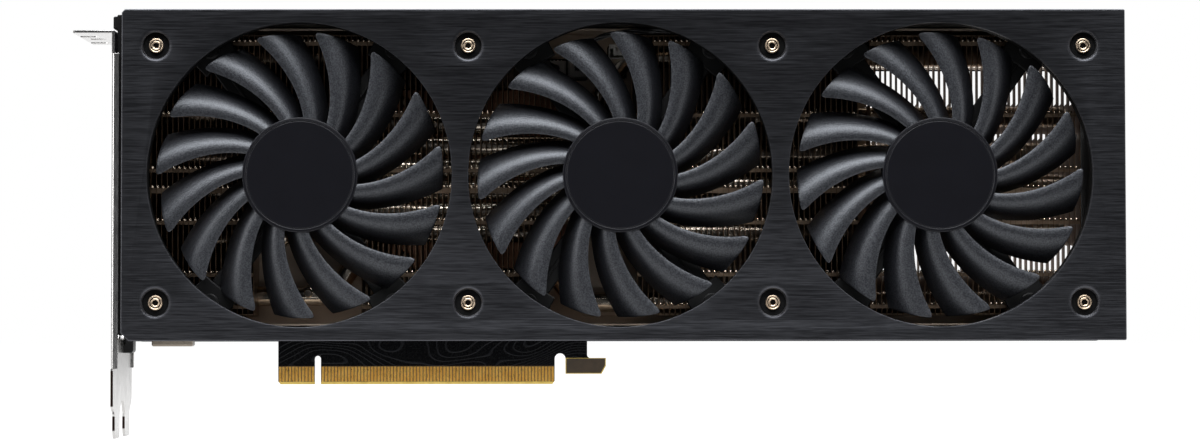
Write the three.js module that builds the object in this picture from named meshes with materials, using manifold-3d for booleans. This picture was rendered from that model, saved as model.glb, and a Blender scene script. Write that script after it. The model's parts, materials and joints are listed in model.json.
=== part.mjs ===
// Three-fan graphics card: two-slot cooler, circuit board, bracket and backplate.
// Millimetres. +X runs along the card away from the bracket, +Y from the fan side to the
// backplate, +Z up from the edge connector. The origin is the middle of the edge
// connector's bottom face, on the mid-plane of the board.
import * as THREE from 'three';
import { mergeVertices } from 'three/addons/utils/BufferGeometryUtils.js';
import Module from 'manifold-3d';

const wasm = await Module();
wasm.setup();

// ---- driving dimensions ----
const BOARD_T = 1.57;
const GAP = 0.3;
const BOARD_FRONT = -BOARD_T / 2;
const BOARD_BACK = BOARD_T / 2;

const PLATE = { x0: -85.0, x1: 210.5, z0: 13.4, z1: 111.0, y0: -36.2, y1: -34.6 };
const FAN_PITCH = 94.4;
const FAN_MID_X = 61.65;
const FAN_Z = 62.25;
const FAN_X = [-1, 0, 1].map((k) => FAN_MID_X + k * FAN_PITCH);
const FAN_PHASE_DEG = [12.6, 22.9, 3.3];
const OPENING_R = 44.8;
const ROUND = 40;

const SCREW_X = [-136.6, -44.8, 44.8, 136.6].map((dx) => FAN_MID_X + dx);
const SCREW_Z = [24.6, 100.3];
const SCREW_RECESS_R = 3.9;

const SHROUD = { x0: -85.6, x1: 209.6, z0: 15.0, z1: 109.5, y0: -34.3, y1: BOARD_FRONT - GAP };
const DECK_BACK = -28.3;
const WALL = 2.35;
const TOP_VENTS = [[3, 27]];
const BOTTOM_VENTS = [[3, 27], [97, 123]];

const HUB_R = 17.0;
const HUB_FRONT = -34.2;
const HUB_BACK = -25.4;
const BADGE_R = 15.5;
const BLADES = 15;
const BLADE = { tip: 42.6, front: -33.5, back: -25.9, sweep: 23.8, chordRoot: 23.4, chordTip: 16.8, t: 1.0 };
const FRAME = { front: -24.9, back: -23.3, hubR: 16.5, armW: 6.4, earR: 3.0, earAt: 46.4, earFront: -28.0 };
const FRAME_ARMS_DEG = [54, 126, 234, 306];
const SHAFT_R = 1.2;

const FINS = { front: -20.7, root: -13.2, back: -12.5, z0: 20.9, z1: 104.9, pitch: 3.22, t: 0.5 };
const MAIN_STACK = { x0: -80.0, x1: 134.4 };
const TAIL_STACK = { x0: 136.6, x1: 200.4 };
const WINDOW = { x0: 137.2, x1: 201.2, z0: 31.5, z1: 95.8 };

const PIPE_R = 3.0;
const PIPE_Y = -9.2;
const GPU = { x: 20.0, z: FAN_Z };
const COLD = { x0: -8, x1: 48, z0: 35.0, z1: 89.5, y0: -5.9, y1: -3.3 };
const MID = { x0: -64.5, x1: 128.2, z0: 17.7, z1: 106.8, y0: -5.0, y1: -3.6 };
const TAIL_FRAME = { x0: MID.x1 + GAP, x1: 201.0 };
const SPRING_SCREW_OFF = 23.5;

const BOARD = { x0: -86.2, x1: 136.0, z0: 13.1, z1: 109.2 };
const BACKPLATE = { x0: -85.5, x1: 209.6, z0: 13.0, z1: 110.4, y0: 2.2, y1: 3.4 };
const BRACKET = { x0: -88.0, t: 0.8, y0: -35.3, y1: 3.45, top: 104.8, bottom: -15.4 };
const PORT_Z = [20.3, 42.9, 65.5, 88.1];
const PORT_Y = -4.2;
const POWER_X = [92.6, 111.7];
const PLUG_X = [36.6, 42.8, 49.0];

// ---- materials ----
const MATERIALS = {
  brushedBlack: { color: 0x2f3034, roughness: 0.42, metalness: 0.85 },
  blackPlastic: { color: 0x17171a, roughness: 0.55, metalness: 0.0 },
  fanPlastic: { color: 0x3a3b40, roughness: 0.45, metalness: 0.1 },
  badgeBlack: { color: 0x1f2024, roughness: 0.5, metalness: 0.0 },
  finMetal: { color: 0xa08c74, roughness: 0.35, metalness: 0.9 },
  pipeMetal: { color: 0xc9bba6, roughness: 0.22, metalness: 1.0 },
  copper: { color: 0xb87551, roughness: 0.35, metalness: 1.0 },
  steel: { color: 0xb9b8b4, roughness: 0.32, metalness: 1.0 },
  screwSteel: { color: 0xcfc6b4, roughness: 0.2, metalness: 1.0 },
  board: { color: 0x101214, roughness: 0.5, metalness: 0.0 },
  chip: { color: 0x26323a, roughness: 0.4, metalness: 0.0 },
  whiteNylon: { color: 0xe6e4dc, roughness: 0.6, metalness: 0.0 },
  cableBlack: { color: 0x121212, roughness: 0.6, metalness: 0.0 },
  darkAluminium: { color: 0x26272a, roughness: 0.5, metalness: 0.7 },
};

const card = new THREE.Group();

function addPart(name, geometry, finish, parent = card) {
  const mesh = new THREE.Mesh(geometry, new THREE.MeshStandardMaterial(MATERIALS[finish]));
  mesh.name = name;
  parent.add(mesh);
  return mesh;
}

// ---- solid helpers: every helper returns a closed solid that faces outwards ----
function bare(geometry) {
  const g = geometry.clone();
  g.deleteAttribute('normal');
  g.deleteAttribute('uv');
  return mergeVertices(g, 1e-5);
}

function signedVolume(geometry) {
  const p = geometry.getAttribute('position');
  const idx = geometry.getIndex().array;
  const [a, b, c] = [new THREE.Vector3(), new THREE.Vector3(), new THREE.Vector3()];
  let sum = 0;
  for (let i = 0; i < idx.length; i += 3) {
    a.fromBufferAttribute(p, idx[i]);
    b.fromBufferAttribute(p, idx[i + 1]);
    c.fromBufferAttribute(p, idx[i + 2]);
    sum += a.dot(b.cross(c)) / 6;
  }
  return sum;
}

function solid(geometry) {
  const g = bare(geometry);
  const idx = Array.from(g.getIndex().array);
  if (signedVolume(g) < 0) {
    for (let i = 0; i < idx.length; i += 3) {
      [idx[i], idx[i + 1]] = [idx[i + 1], idx[i]];
    }
  }
  return new wasm.Manifold(
    new wasm.Mesh({
      numProp: 3,
      vertProperties: new Float32Array(g.getAttribute('position').array),
      triVerts: new Uint32Array(idx),
    }),
  );
}

function toGeometry(manifold) {
  const mesh = manifold.getMesh();
  const g = new THREE.BufferGeometry();
  g.setAttribute('position', new THREE.BufferAttribute(new Float32Array(mesh.vertProperties), 3));
  g.setIndex(new THREE.BufferAttribute(new Uint32Array(mesh.triVerts), 1));
  g.computeVertexNormals();
  return g;
}

function join(parts) {
  return parts.reduce((sum, part) => sum.add(part));
}

function cut(base, tools) {
  return tools.reduce((rest, tool) => rest.subtract(tool), base);
}

function box(x0, x1, y0, y1, z0, z1) {
  const g = new THREE.BoxGeometry(x1 - x0, y1 - y0, z1 - z0);
  return solid(g.translate((x0 + x1) / 2, (y0 + y1) / 2, (z0 + z1) / 2));
}

// A round bar along Y.
function barY(x, z, r, y0, y1, sides) {
  const g = new THREE.CylinderGeometry(r, r, y1 - y0, sides);
  return solid(g.translate(x, (y0 + y1) / 2, z));
}

// A ring or cup turned about Y: the profile is a closed list of [radius, y].
function turnedY(profile, sides) {
  const points = profile.map(([r, y]) => new THREE.Vector2(r, y));
  return solid(new THREE.LatheGeometry(points, sides));
}

// An outline in X and Z, given thickness along Y.
function slabXZ(shape, y0, y1, curveSegments = 12) {
  const g = new THREE.ExtrudeGeometry(shape, { depth: y1 - y0, bevelEnabled: false, curveSegments });
  return solid(g.rotateX(Math.PI / 2).translate(0, y1, 0));
}

// An outline in Y and Z, given thickness along X.
function slabYZ(shape, x0, x1) {
  const g = new THREE.ExtrudeGeometry(shape, { depth: x1 - x0, bevelEnabled: false });
  const turn = new THREE.Matrix4().makeBasis(
    new THREE.Vector3(0, 1, 0),
    new THREE.Vector3(0, 0, 1),
    new THREE.Vector3(1, 0, 0),
  );
  return solid(g.applyMatrix4(turn).translate(x0, 0, 0));
}

// An outline in X and Y, given height along Z.
function slabXY(shape, z0, z1) {
  const g = new THREE.ExtrudeGeometry(shape, { depth: z1 - z0, bevelEnabled: false });
  return solid(g.translate(0, 0, z0));
}

function outline(points) {
  return new THREE.Shape(points.map(([a, b]) => new THREE.Vector2(a, b)));
}

function circleShape(r, sides) {
  return outline(
    Array.from({ length: sides }, (_, i) => {
      const a = (i / sides) * 2 * Math.PI;
      return [r * Math.cos(a), r * Math.sin(a)];
    }),
  );
}

// A tube along a curve, closed at both ends.
function tube(curve, r, sides, steps) {
  const g = new THREE.ExtrudeGeometry(circleShape(r, sides), { steps, extrudePath: curve, bevelEnabled: false });
  return solid(g);
}

// ---- front plate: flat metal cover with three fan openings and eight screw recesses ----
function frontPlate() {
  const corner = 1.0;
  const lowCut = 2.2;
  const { x0, x1, z0, z1, y0, y1 } = PLATE;
  const rim = outline([
    [x0 + lowCut, z0], [x1, z0], [x1, z1], [x0 + corner, z1], [x0, z1 - corner], [x0, z0 + lowCut],
  ]);
  const holes = FAN_X.map((x) => barY(x, FAN_Z, OPENING_R, y0 - 1, y1 + 1, ROUND));
  for (const x of SCREW_X) {
    for (const z of SCREW_Z) {
      holes.push(barY(x, z, SCREW_RECESS_R, y0 - 1, y1 + 1, 12));
    }
  }
  return cut(slabXZ(rim, y0, y1), holes);
}

// A socket-head screw that holds the front plate to the shroud.
function plateScrew() {
  const headR = 2.15;
  const headFront = -35.3;
  const headBack = -34.3 - 0.1;
  const shankR = 1.1;
  const tip = -30.0;
  const socketR = 1.0;
  const socketFloor = -34.75;
  return turnedY([
    [0, socketFloor], [socketR, socketFloor], [socketR, headFront], [headR, headFront],
    [headR, headBack], [shankR, headBack], [shankR, tip], [0, tip],
  ], 10);
}

// ---- shroud: fan deck with ducts, two side rails with vents, end cap and mounting foot ----
const RAIL_Y0 = DECK_BACK + GAP;
const CAP_X0 = 201.5;
const SKIRT = { x0: BOARD.x1 + 0.6, y1: BACKPLATE.y0 - GAP };

function shroudDeck() {
  const { x0, x1, z0, z1, y0 } = SHROUD;
  const deck = box(x0, x1, y0, DECK_BACK, z0, z1);
  const cornerEar = box(-87.7, x0 + 1, -33.8, -29.0, 105.2, z1 - 0.5);
  const openings = FAN_X.map((x) => barY(x, FAN_Z, OPENING_R + 0.2, y0 - 1, DECK_BACK + 1, ROUND));
  for (const x of SCREW_X) {
    for (const z of SCREW_Z) {
      openings.push(barY(x, z, 1.5, y0 - 1, DECK_BACK + 1, 8));
    }
  }
  return cut(deck.add(cornerEar), openings);
}

// One long wall of the shroud, from z0 to z1. Past the end of the board it is deeper, as a skirt.
function shroudRail(z0, z1, extras, tools) {
  const railX1 = CAP_X0 - GAP;
  const wall = box(SHROUD.x0, railX1, RAIL_Y0, SHROUD.y1, z0, z1);
  const skirt = box(SKIRT.x0, railX1, SHROUD.y1 - 1, SKIRT.y1, z0, z1);
  const socketBay = box(SHROUD.x0 - 5, -66.8, -7.6, SHROUD.y1 + 1, z0 - 1, z1 + 1);
  return cut(join([wall, skirt, ...extras]), [socketBay, ...tools]);
}

function vent([x0, x1]) {
  return box(x0, x1, -24, -8, SHROUD.z0 - 1, SHROUD.z1 + 1);
}

function shroudTopRail() {
  const z0 = SHROUD.z1 - WALL;
  const powerNotch = box(POWER_X[0] - 0.5, POWER_X[1] + 18.9, -13.5, SHROUD.y1 + 1, z0 - 1, SHROUD.z1 + 1);
  return shroudRail(z0, SHROUD.z1, [], [powerNotch, ...TOP_VENTS.map(vent)]);
}

function shroudBottomRail() {
  const z1 = SHROUD.z0 + WALL;
  const foot = box(-86.9, -84.4, -13.4, -8.0, 9.7, SHROUD.z0 + 1);
  const footNotch = barY(-87.2, 14.0, 1.9, -14, -7, 12);
  return shroudRail(SHROUD.z0, z1, [foot], [footNotch, ...BOTTOM_VENTS.map(vent)]);
}

// A channel that closes the far end, open to the back.
function shroudEndCap() {
  const wall = 1.9;
  const outer = box(CAP_X0, SHROUD.x1, RAIL_Y0, SKIRT.y1, SHROUD.z0, SHROUD.z1);
  const inner = box(CAP_X0 + wall, SHROUD.x1 - WALL, RAIL_Y0 + wall, SKIRT.y1 + 1, SHROUD.z0 + WALL, SHROUD.z1 - WALL);
  return outer.subtract(inner);
}

// ---- fans ----
// One swept blade. The edge that leads the spin is nearest the front; the blade rolls back
// from it along the chord.
function bladeGeometry(radialSteps, chordSteps) {
  const rad = THREE.MathUtils.degToRad;
  const rootR = HUB_R - 0.9;
  const middle = (u, v) => {
    const r = rootR + (BLADE.tip - rootR) * u;
    const lead = BLADE.sweep * (u - 1);
    const chord = BLADE.chordTip + (BLADE.chordRoot - BLADE.chordTip) * (1 - u) ** 3;
    const a = rad(lead - chord * v);
    const y = BLADE.front + (BLADE.back - BLADE.front) * v ** 2;
    return new THREE.Vector3(r * Math.cos(a), y, r * Math.sin(a));
  };
  const surface = (u, v, side) => {
    const step = 1e-3;
    const du = middle(Math.min(u + step, 1), v).sub(middle(Math.max(u - step, 0), v));
    const dv = middle(u, Math.min(v + step, 1)).sub(middle(u, Math.max(v - step, 0)));
    const normal = du.cross(dv).normalize();
    return middle(u, v).addScaledVector(normal, (side * BLADE.t) / 2);
  };
  const positions = [];
  const cols = chordSteps + 1;
  const id = (i, j, s) => ((i * cols + j) * 2 + s);
  for (let i = 0; i <= radialSteps; i += 1) {
    for (let j = 0; j <= chordSteps; j += 1) {
      for (const side of [1, -1]) {
        positions.push(...surface(i / radialSteps, j / chordSteps, side).toArray());
      }
    }
  }
  const index = [];
  const quad = (a, b, c, d) => index.push(a, b, c, a, c, d);
  for (let i = 0; i < radialSteps; i += 1) {
    for (let j = 0; j < chordSteps; j += 1) {
      quad(id(i, j, 0), id(i + 1, j, 0), id(i + 1, j + 1, 0), id(i, j + 1, 0));
      quad(id(i, j, 1), id(i, j + 1, 1), id(i + 1, j + 1, 1), id(i + 1, j, 1));
    }
  }
  for (let i = 0; i < radialSteps; i += 1) {
    quad(id(i, 0, 0), id(i, 0, 1), id(i + 1, 0, 1), id(i + 1, 0, 0));
    quad(id(i, chordSteps, 0), id(i + 1, chordSteps, 0), id(i + 1, chordSteps, 1), id(i, chordSteps, 1));
  }
  for (let j = 0; j < chordSteps; j += 1) {
    quad(id(0, j, 0), id(0, j + 1, 0), id(0, j + 1, 1), id(0, j, 1));
    quad(id(radialSteps, j, 0), id(radialSteps, j, 1), id(radialSteps, j + 1, 1), id(radialSteps, j + 1, 0));
  }
  const g = new THREE.BufferGeometry();
  g.setAttribute('position', new THREE.Float32BufferAttribute(positions, 3));
  g.setIndex(index);
  return g;
}

// Hub cup, open to the back, with a shallow seat for the badge and fifteen blades.
function rotor() {
  const cupInner = HUB_R - 1.3;
  const cupFloor = HUB_FRONT + 1.5;
  const seatR = BADGE_R + 0.4;
  const seatFloor = HUB_FRONT + 0.7;
  const cup = turnedY([
    [0, seatFloor], [seatR, seatFloor], [seatR, HUB_FRONT], [HUB_R, HUB_FRONT],
    [HUB_R, HUB_BACK], [cupInner, HUB_BACK], [cupInner, cupFloor], [0, cupFloor],
  ], 24);
  const blade = bladeGeometry(3, 2);
  const blades = Array.from({ length: BLADES }, (_, k) => {
    const g = blade.clone().rotateY(-(k * 2 * Math.PI) / BLADES);
    return solid(g);
  });
  return join([cup, ...blades]);
}

function fanFrame() {
  const { front, back, hubR, armW, earR, earAt, earFront } = FRAME;
  const tubeFront = -31.2;
  const parts = [barY(0, 0, hubR, front, back, 16), barY(0, 0, 3.0, tubeFront, back, 10)];
  for (const deg of FRAME_ARMS_DEG) {
    const a = THREE.MathUtils.degToRad(deg);
    const arm = new THREE.BoxGeometry(earAt - 12, back - front, armW).translate((earAt + 12) / 2, (front + back) / 2, 0);
    parts.push(solid(arm.rotateY(-a)));
    parts.push(barY(earAt * Math.cos(a), earAt * Math.sin(a), earR, earFront, back, 8));
  }
  return cut(join(parts), [barY(0, 0, SHAFT_R + 0.4, tubeFront - 1, back + 1, 8)]);
}

function stator() {
  const coreR = 13.8;
  const boreR = 3.5;
  const y0 = -31.4;
  const y1 = FRAME.front - GAP;
  return turnedY([[boreR, y0], [coreR, y0], [coreR, y1], [boreR, y1], [boreR, y0]], 16);
}

function addFan(i) {
  const fan = new THREE.Group();
  fan.position.set(FAN_X[i], 0, FAN_Z);
  card.add(fan);
  const n = i + 1;
  const turn = THREE.MathUtils.degToRad(FAN_PHASE_DEG[i]);
  const wheel = addPart(`fan_rotor_${n}`, toGeometry(rotor()), 'fanPlastic', fan);
  wheel.rotation.y = -turn;
  const badge = barY(0, 0, BADGE_R, HUB_FRONT + 0.05, HUB_FRONT + 0.6, 24);
  addPart(`fan_badge_${n}`, toGeometry(badge), 'badgeBlack', fan);
  const shaft = barY(0, 0, SHAFT_R, HUB_FRONT + 1.6, FRAME.back - 0.5, 8);
  addPart(`fan_shaft_${n}`, toGeometry(shaft), 'steel', fan);
  addPart(`fan_frame_${n}`, toGeometry(fanFrame()), 'blackPlastic', fan);
  addPart(`fan_stator_${n}`, toGeometry(stator()), 'copper', fan);
}

// ---- fan leads: each runs behind a frame arm, then inside the top of the shroud to its plug ----
const LEAD_R = 0.85;
const LEAD_Y = -22.1;
const LEAD_TOP_Z = 105.6;

function armPoint(i, deg, r) {
  const a = THREE.MathUtils.degToRad(deg);
  return [FAN_X[i] + r * Math.cos(a), LEAD_Y, FAN_Z + r * Math.sin(a)];
}

const PLUG_Z = [93.2, 98.2];
const PLUG_FRONT = -8.0;
const LEAD_END_Y = PLUG_FRONT - GAP;
const LEAD_ROUTES = [
  [
    armPoint(0, 54, 9), armPoint(0, 54, 24), armPoint(0, 54, 40), [-2.5, -22.6, 103.2], [6, -23.4, LEAD_TOP_Z],
    [20, -23.6, LEAD_TOP_Z], [28, -23.4, 105.0], [33.6, -22.4, 102.0], [36.2, -18.4, 98.2],
    [36.6, -13.5, 95.9], [36.6, LEAD_END_Y, 95.7],
  ],
  [
    armPoint(1, 126, 9), armPoint(1, 126, 24), armPoint(1, 126, 39), [37.2, -21.2, 97.2],
    [41.2, -17.0, 95.9], [42.8, -12.5, 95.7], [42.8, LEAD_END_Y, 95.7],
  ],
  [
    armPoint(2, 126, 9), armPoint(2, 126, 24), armPoint(2, 126, 40), [122, -22.6, 103.4], [112, -23.4, LEAD_TOP_Z],
    [90, -23.6, LEAD_TOP_Z], [68, -23.6, LEAD_TOP_Z], [56, -22.2, 104.0], [50.8, -18.0, 99.4],
    [49.0, -13.0, 96.2], [49.0, LEAD_END_Y, 95.7],
  ],
];

function fanLead(route) {
  const curve = new THREE.CatmullRomCurve3(route.map((p) => new THREE.Vector3(...p)), false, 'centripetal');
  return tube(curve, LEAD_R, 8, Math.round(curve.getLength() / 5));
}

function fanPlug(x) {
  const half = 2.6;
  return box(x - half, x + half, PLUG_FRONT, BOARD_FRONT - GAP, PLUG_Z[0], PLUG_Z[1]);
}

// ---- heatsink ----
// A row of fins on a thin back web. Fins stand in the YZ plane.
function finComb(x0, x1) {
  const { front, root, back, z0, z1, pitch, t } = FINS;
  const count = Math.floor((x1 - x0 - t) / pitch) + 1;
  const points = [[x0, back]];
  for (let i = 0; i < count; i += 1) {
    const x = x0 + i * pitch;
    points.push([x, front], [x + t, front]);
    if (i < count - 1) {
      points.push([x + t, root], [x + pitch, root]);
    }
  }
  points.push([x0 + (count - 1) * pitch + t, back]);
  return slabXY(outline(points), z0, z1);
}

const PARTS_CUTOUTS = [
  { x0: -47, x1: -16.5, z0: 0, z1: 43.0 },
  { x0: 33.0, x1: 64, z0: 88.0, z1: 120 },
  { x0: 38, x1: 66, z0: 0, z1: 44.0 },
];

function finStackMain() {
  const tools = PARTS_CUTOUTS.map((c) => box(c.x0, c.x1, FINS.front - 1, 0, c.z0, c.z1));
  return cut(finComb(MAIN_STACK.x0, MAIN_STACK.x1), tools);
}

function finStackTail() {
  const air = box(TAIL_STACK.x0 - 2, TAIL_STACK.x1 + 2, FINS.root, 0, WINDOW.z0, WINDOW.z1);
  return cut(finComb(TAIL_STACK.x0, TAIL_STACK.x1), [air]);
}

// Heat pipes lie side by side on the cold plate and spread out through the fins. Each has
// a height on the left, over the cold plate and on the right, and two S-bends between.
const PIPES = [
  { x0: -62, left: 98.8, bendL: [-25, -9], mid: 78.75, bendR: [49, 65], right: 98.8 },
  { x0: -66, left: 82.0, bendL: [-42, -28], mid: 72.15, bendR: [66, 80], right: 80.9 },
  { x0: -66, left: 69.2, bendL: [-56, -44], mid: 65.55, bendR: [80, 92], right: 69.8 },
  { x0: -66, left: 58.6, bendL: [-56, -44], mid: 58.95, bendR: [80, 92], right: 60.4 },
  { x0: -66, left: 44.0, bendL: [-42, -28], mid: 52.35, bendR: [62, 76], right: 45.8 },
  { x0: -60, left: 26.8, bendL: [-27, -11], mid: 45.75, bendR: [34, 50], right: 24.9 },
];
const PIPE_END_X = 196;

function heatPipe(p) {
  const at = (x, z) => new THREE.Vector3(x, PIPE_Y, z);
  const sBend = (xa, xb, za, zb) => {
    const h = (xb - xa) * 0.5;
    return new THREE.CubicBezierCurve3(at(xa, za), at(xa + h, za), at(xb - h, zb), at(xb, zb));
  };
  const path = new THREE.CurvePath();
  path.add(new THREE.LineCurve3(at(p.x0, p.left), at(p.bendL[0], p.left)));
  path.add(sBend(p.bendL[0], p.bendL[1], p.left, p.mid));
  path.add(new THREE.LineCurve3(at(p.bendL[1], p.mid), at(p.bendR[0], p.mid)));
  path.add(sBend(p.bendR[0], p.bendR[1], p.mid, p.right));
  path.add(new THREE.LineCurve3(at(p.bendR[1], p.right), at(PIPE_END_X, p.right)));
  return tube(path, PIPE_R, 6, 24);
}

function coldPlate() {
  const corners = [-1, 1].flatMap((sx) => [-1, 1].map((sz) => [sx, sz]));
  const holes = corners.map(([sx, sz]) => barY(
    GPU.x + sx * SPRING_SCREW_OFF, GPU.z + sz * SPRING_SCREW_OFF, 1.5, COLD.y0 - 1, COLD.y1 + 1, 8,
  ));
  return cut(box(COLD.x0, COLD.x1, COLD.y0, COLD.y1, COLD.z0, COLD.z1), holes);
}

function midPlate() {
  const y0 = MID.y0 - 1;
  const y1 = MID.y1 + 1;
  const clear = 0.4;
  return cut(box(MID.x0, MID.x1, MID.y0, MID.y1, MID.z0, MID.z1), [
    box(COLD.x0 - clear, COLD.x1 + clear, y0, y1, COLD.z0 - clear, COLD.z1 + clear),
    box(PLUG_X[0] - 3.2, PLUG_X[2] + 3.2, y0, y1, PLUG_Z[0] - 0.8, PLUG_Z[1] + 0.8),
    box(POWER_X[0] - 1, POWER_X[1] + 19.4, y0, y1, 95.5, MID.z1 + 1),
  ]);
}

// Carries the short fin stack round its air window.
function tailFrame() {
  const { x0, x1 } = TAIL_FRAME;
  const powerCorner = box(x0 - 1, POWER_X[1] + 19.4, MID.y0 - 1, MID.y1 + 1, WINDOW.z1, MID.z1 + 1);
  return cut(box(x0, x1, MID.y0, MID.y1, MID.z0, MID.z1), [
    box(WINDOW.x0, WINDOW.x1, MID.y0 - 1, MID.y1 + 1, WINDOW.z0, WINDOW.z1),
    powerCorner,
  ]);
}

// ---- circuit board and its parts ----
function circuitBoard() {
  const { x0, x1, z0, z1 } = BOARD;
  const tab = 42.1;
  const key = [-31.0, -29.1];
  const keyTop = 7.7;
  const chamfer = 0.7;
  const hook = { x0: 45.4, step: 52.0, x1: 57.7, z0: 3.1, z1: 7.9 };
  const s = new THREE.Shape();
  s.moveTo(x0, z0);
  s.lineTo(-tab, z0);
  s.lineTo(-tab, chamfer);
  s.lineTo(-tab + chamfer, 0);
  s.lineTo(key[0], 0);
  s.lineTo(key[0], keyTop);
  s.absarc((key[0] + key[1]) / 2, keyTop, (key[1] - key[0]) / 2, Math.PI, 0, true);
  s.lineTo(key[1], 0);
  s.lineTo(tab - chamfer, 0);
  s.lineTo(tab, chamfer);
  s.lineTo(tab, keyTop);
  s.absarc((tab + hook.x0) / 2, keyTop, (hook.x0 - tab) / 2, Math.PI, 0, true);
  s.lineTo(hook.x0, hook.z0);
  s.lineTo(hook.x1 - 1.4, hook.z0);
  s.lineTo(hook.x1, hook.z0 + 1.4);
  s.lineTo(hook.x1, hook.z1);
  s.lineTo(hook.step + 1, hook.z1);
  s.lineTo(hook.step, hook.z1 + 1);
  s.lineTo(hook.step, z0);
  s.lineTo(x1, z0);
  s.lineTo(x1, z1);
  s.lineTo(x0, z1);
  s.closePath();
  const holes = [];
  for (const sx of [-1, 1]) {
    for (const sz of [-1, 1]) {
      const x = GPU.x + sx * SPRING_SCREW_OFF;
      const z = GPU.z + sz * SPRING_SCREW_OFF;
      holes.push(barY(x, z, 1.7, -2, 2, 8));
    }
  }
  return cut(slabXZ(s, BOARD_FRONT, BOARD_BACK, 6), holes);
}

function gpuPackage() {
  const base = 21.0;
  const die = 12.5;
  const lift = BOARD_FRONT - GAP;
  return join([
    box(GPU.x - base, GPU.x + base, lift - 1.2, lift, GPU.z - base, GPU.z + base),
    box(GPU.x - die, GPU.x + die, COLD.y1 + 0.25, lift - 1, GPU.z - die, GPU.z + die),
  ]);
}

// An eight-way power inlet whose mouth faces up.
function powerConnector(x0) {
  const size = { w: 18.4, y0: -11.6, y1: BOARD_FRONT - GAP, z0: 102.2, z1: 110.4 };
  const cell = 3.3;
  const pitch = 4.2;
  const cells = [];
  for (let i = 0; i < 4; i += 1) {
    for (let j = 0; j < 2; j += 1) {
      const cx = x0 + size.w / 2 + (i - 1.5) * pitch;
      const cy = (size.y0 + size.y1) / 2 + (j - 0.5) * pitch;
      cells.push(box(cx - cell / 2, cx + cell / 2, cy - cell / 2, cy + cell / 2, size.z1 - 6.2, size.z1 + 1));
    }
  }
  return cut(box(x0, x0 + size.w, size.y0, size.y1, size.z0, size.z1), cells);
}

// A display socket: a metal shell through the bracket, a tongue inside and a rear housing.
function displaySocket(z, halfHeight) {
  const mouth = -88.6;
  const rear = { x0: -79.8, x1: -67.4 };
  const halfT = 2.5;
  const wall = 0.45;
  const tongue = 0.55;
  const shell = cut(
    box(mouth, rear.x0 + 1, PORT_Y - halfT, PORT_Y + halfT, z - halfHeight, z + halfHeight),
    [box(mouth - 1, rear.x0, PORT_Y - halfT + wall, PORT_Y + halfT - wall, z - halfHeight + wall, z + halfHeight - wall)],
  );
  const tongueBar = box(mouth + 1.4, rear.x0 + 1, PORT_Y - tongue, PORT_Y + tongue, z - halfHeight + 2, z + halfHeight - 2);
  const housing = box(rear.x0, rear.x1, PORT_Y - 2.9, BOARD_FRONT - GAP, z - 8.7, z + 8.7);
  return join([shell, tongueBar, housing]);
}

// ---- bracket ----
function ioBracket() {
  const { x0, t, y0, y1, top, bottom } = BRACKET;
  const shoulder = -4.6;
  const tipTaper = 1.2;
  const prongs = [[-31.5, -21.3], [-11.2, -1.0]];
  const tip = bottom + 1.8;
  const throat = -8.2;
  const face = outline([
    [y0, top], [y1, top], [y1, shoulder], [prongs[1][1], throat],
    [prongs[1][1], tip], [prongs[1][1] - tipTaper, bottom], [prongs[1][0] + tipTaper, bottom], [prongs[1][0], tip],
    [prongs[1][0], throat], [-14, shoulder], [-18.5, shoulder], [prongs[0][1], throat],
    [prongs[0][1], tip], [prongs[0][1] - tipTaper, bottom], [prongs[0][0] + tipTaper, bottom], [prongs[0][0], tip],
    [prongs[0][0], throat], [y0, shoulder - 1.8],
  ]);
  const sheet = slabYZ(face, x0, x0 + t);
  const nearFlange = box(x0, -85.9, y0, y0 + t, 5.2, 98.1);
  const farFlange = box(x0, -86.5, y1 - t, y1, 5.0, 98.1);
  const tab = box(-99.5, x0 + t, y0, y1, top - t, top);
  const slots = [];
  const screwX = -95.8;
  const notchR = 2.2;
  for (const y of [-23.2, -2.9]) {
    slots.push(box(-100.5, screwX, y - notchR, y + notchR, top - 3, top + 3));
    const notchEnd = new THREE.CylinderGeometry(notchR, notchR, 6, 12).rotateX(Math.PI / 2);
    slots.push(solid(notchEnd.translate(screwX, y, top)));
  }
  slots.push(box(-97.4, -92.6, -17.6, -13.8, top - 3, top + 3));
  for (let i = 0; i < 4; i += 1) {
    const half = i === 3 ? 7.6 : 8.3;
    slots.push(box(x0 - 1, x0 + t + 1, PORT_Y - 2.8, PORT_Y + 2.8, PORT_Z[i] - half - GAP, PORT_Z[i] + half + GAP));
  }
  for (let row = 0; row < 10; row += 1) {
    const z = 16 + row * 8.4;
    for (const y of [-27.0, -16.6]) {
      slots.push(box(x0 - 1, x0 + t + 1, y - 4.2, y + 4.2, z - 2.2, z + 2.2));
    }
  }
  return cut(join([sheet, nearFlange, farFlange, tab]), slots);
}

// ---- backplate and cooler fixings ----
function backplate() {
  const { x0, x1, z0, z1, y0, y1 } = BACKPLATE;
  const holes = [box(WINDOW.x0, WINDOW.x1, y0 - 1, y1 + 1, WINDOW.z0, WINDOW.z1)];
  for (const sx of [-1, 1]) {
    for (const sz of [-1, 1]) {
      const x = GPU.x + sx * SPRING_SCREW_OFF;
      const z = GPU.z + sz * SPRING_SCREW_OFF;
      holes.push(barY(x, z, 4.2, y0 - 1, y1 + 1, 12));
    }
  }
  return cut(box(x0, x1, y0, y1, z0, z1), holes);
}

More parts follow.
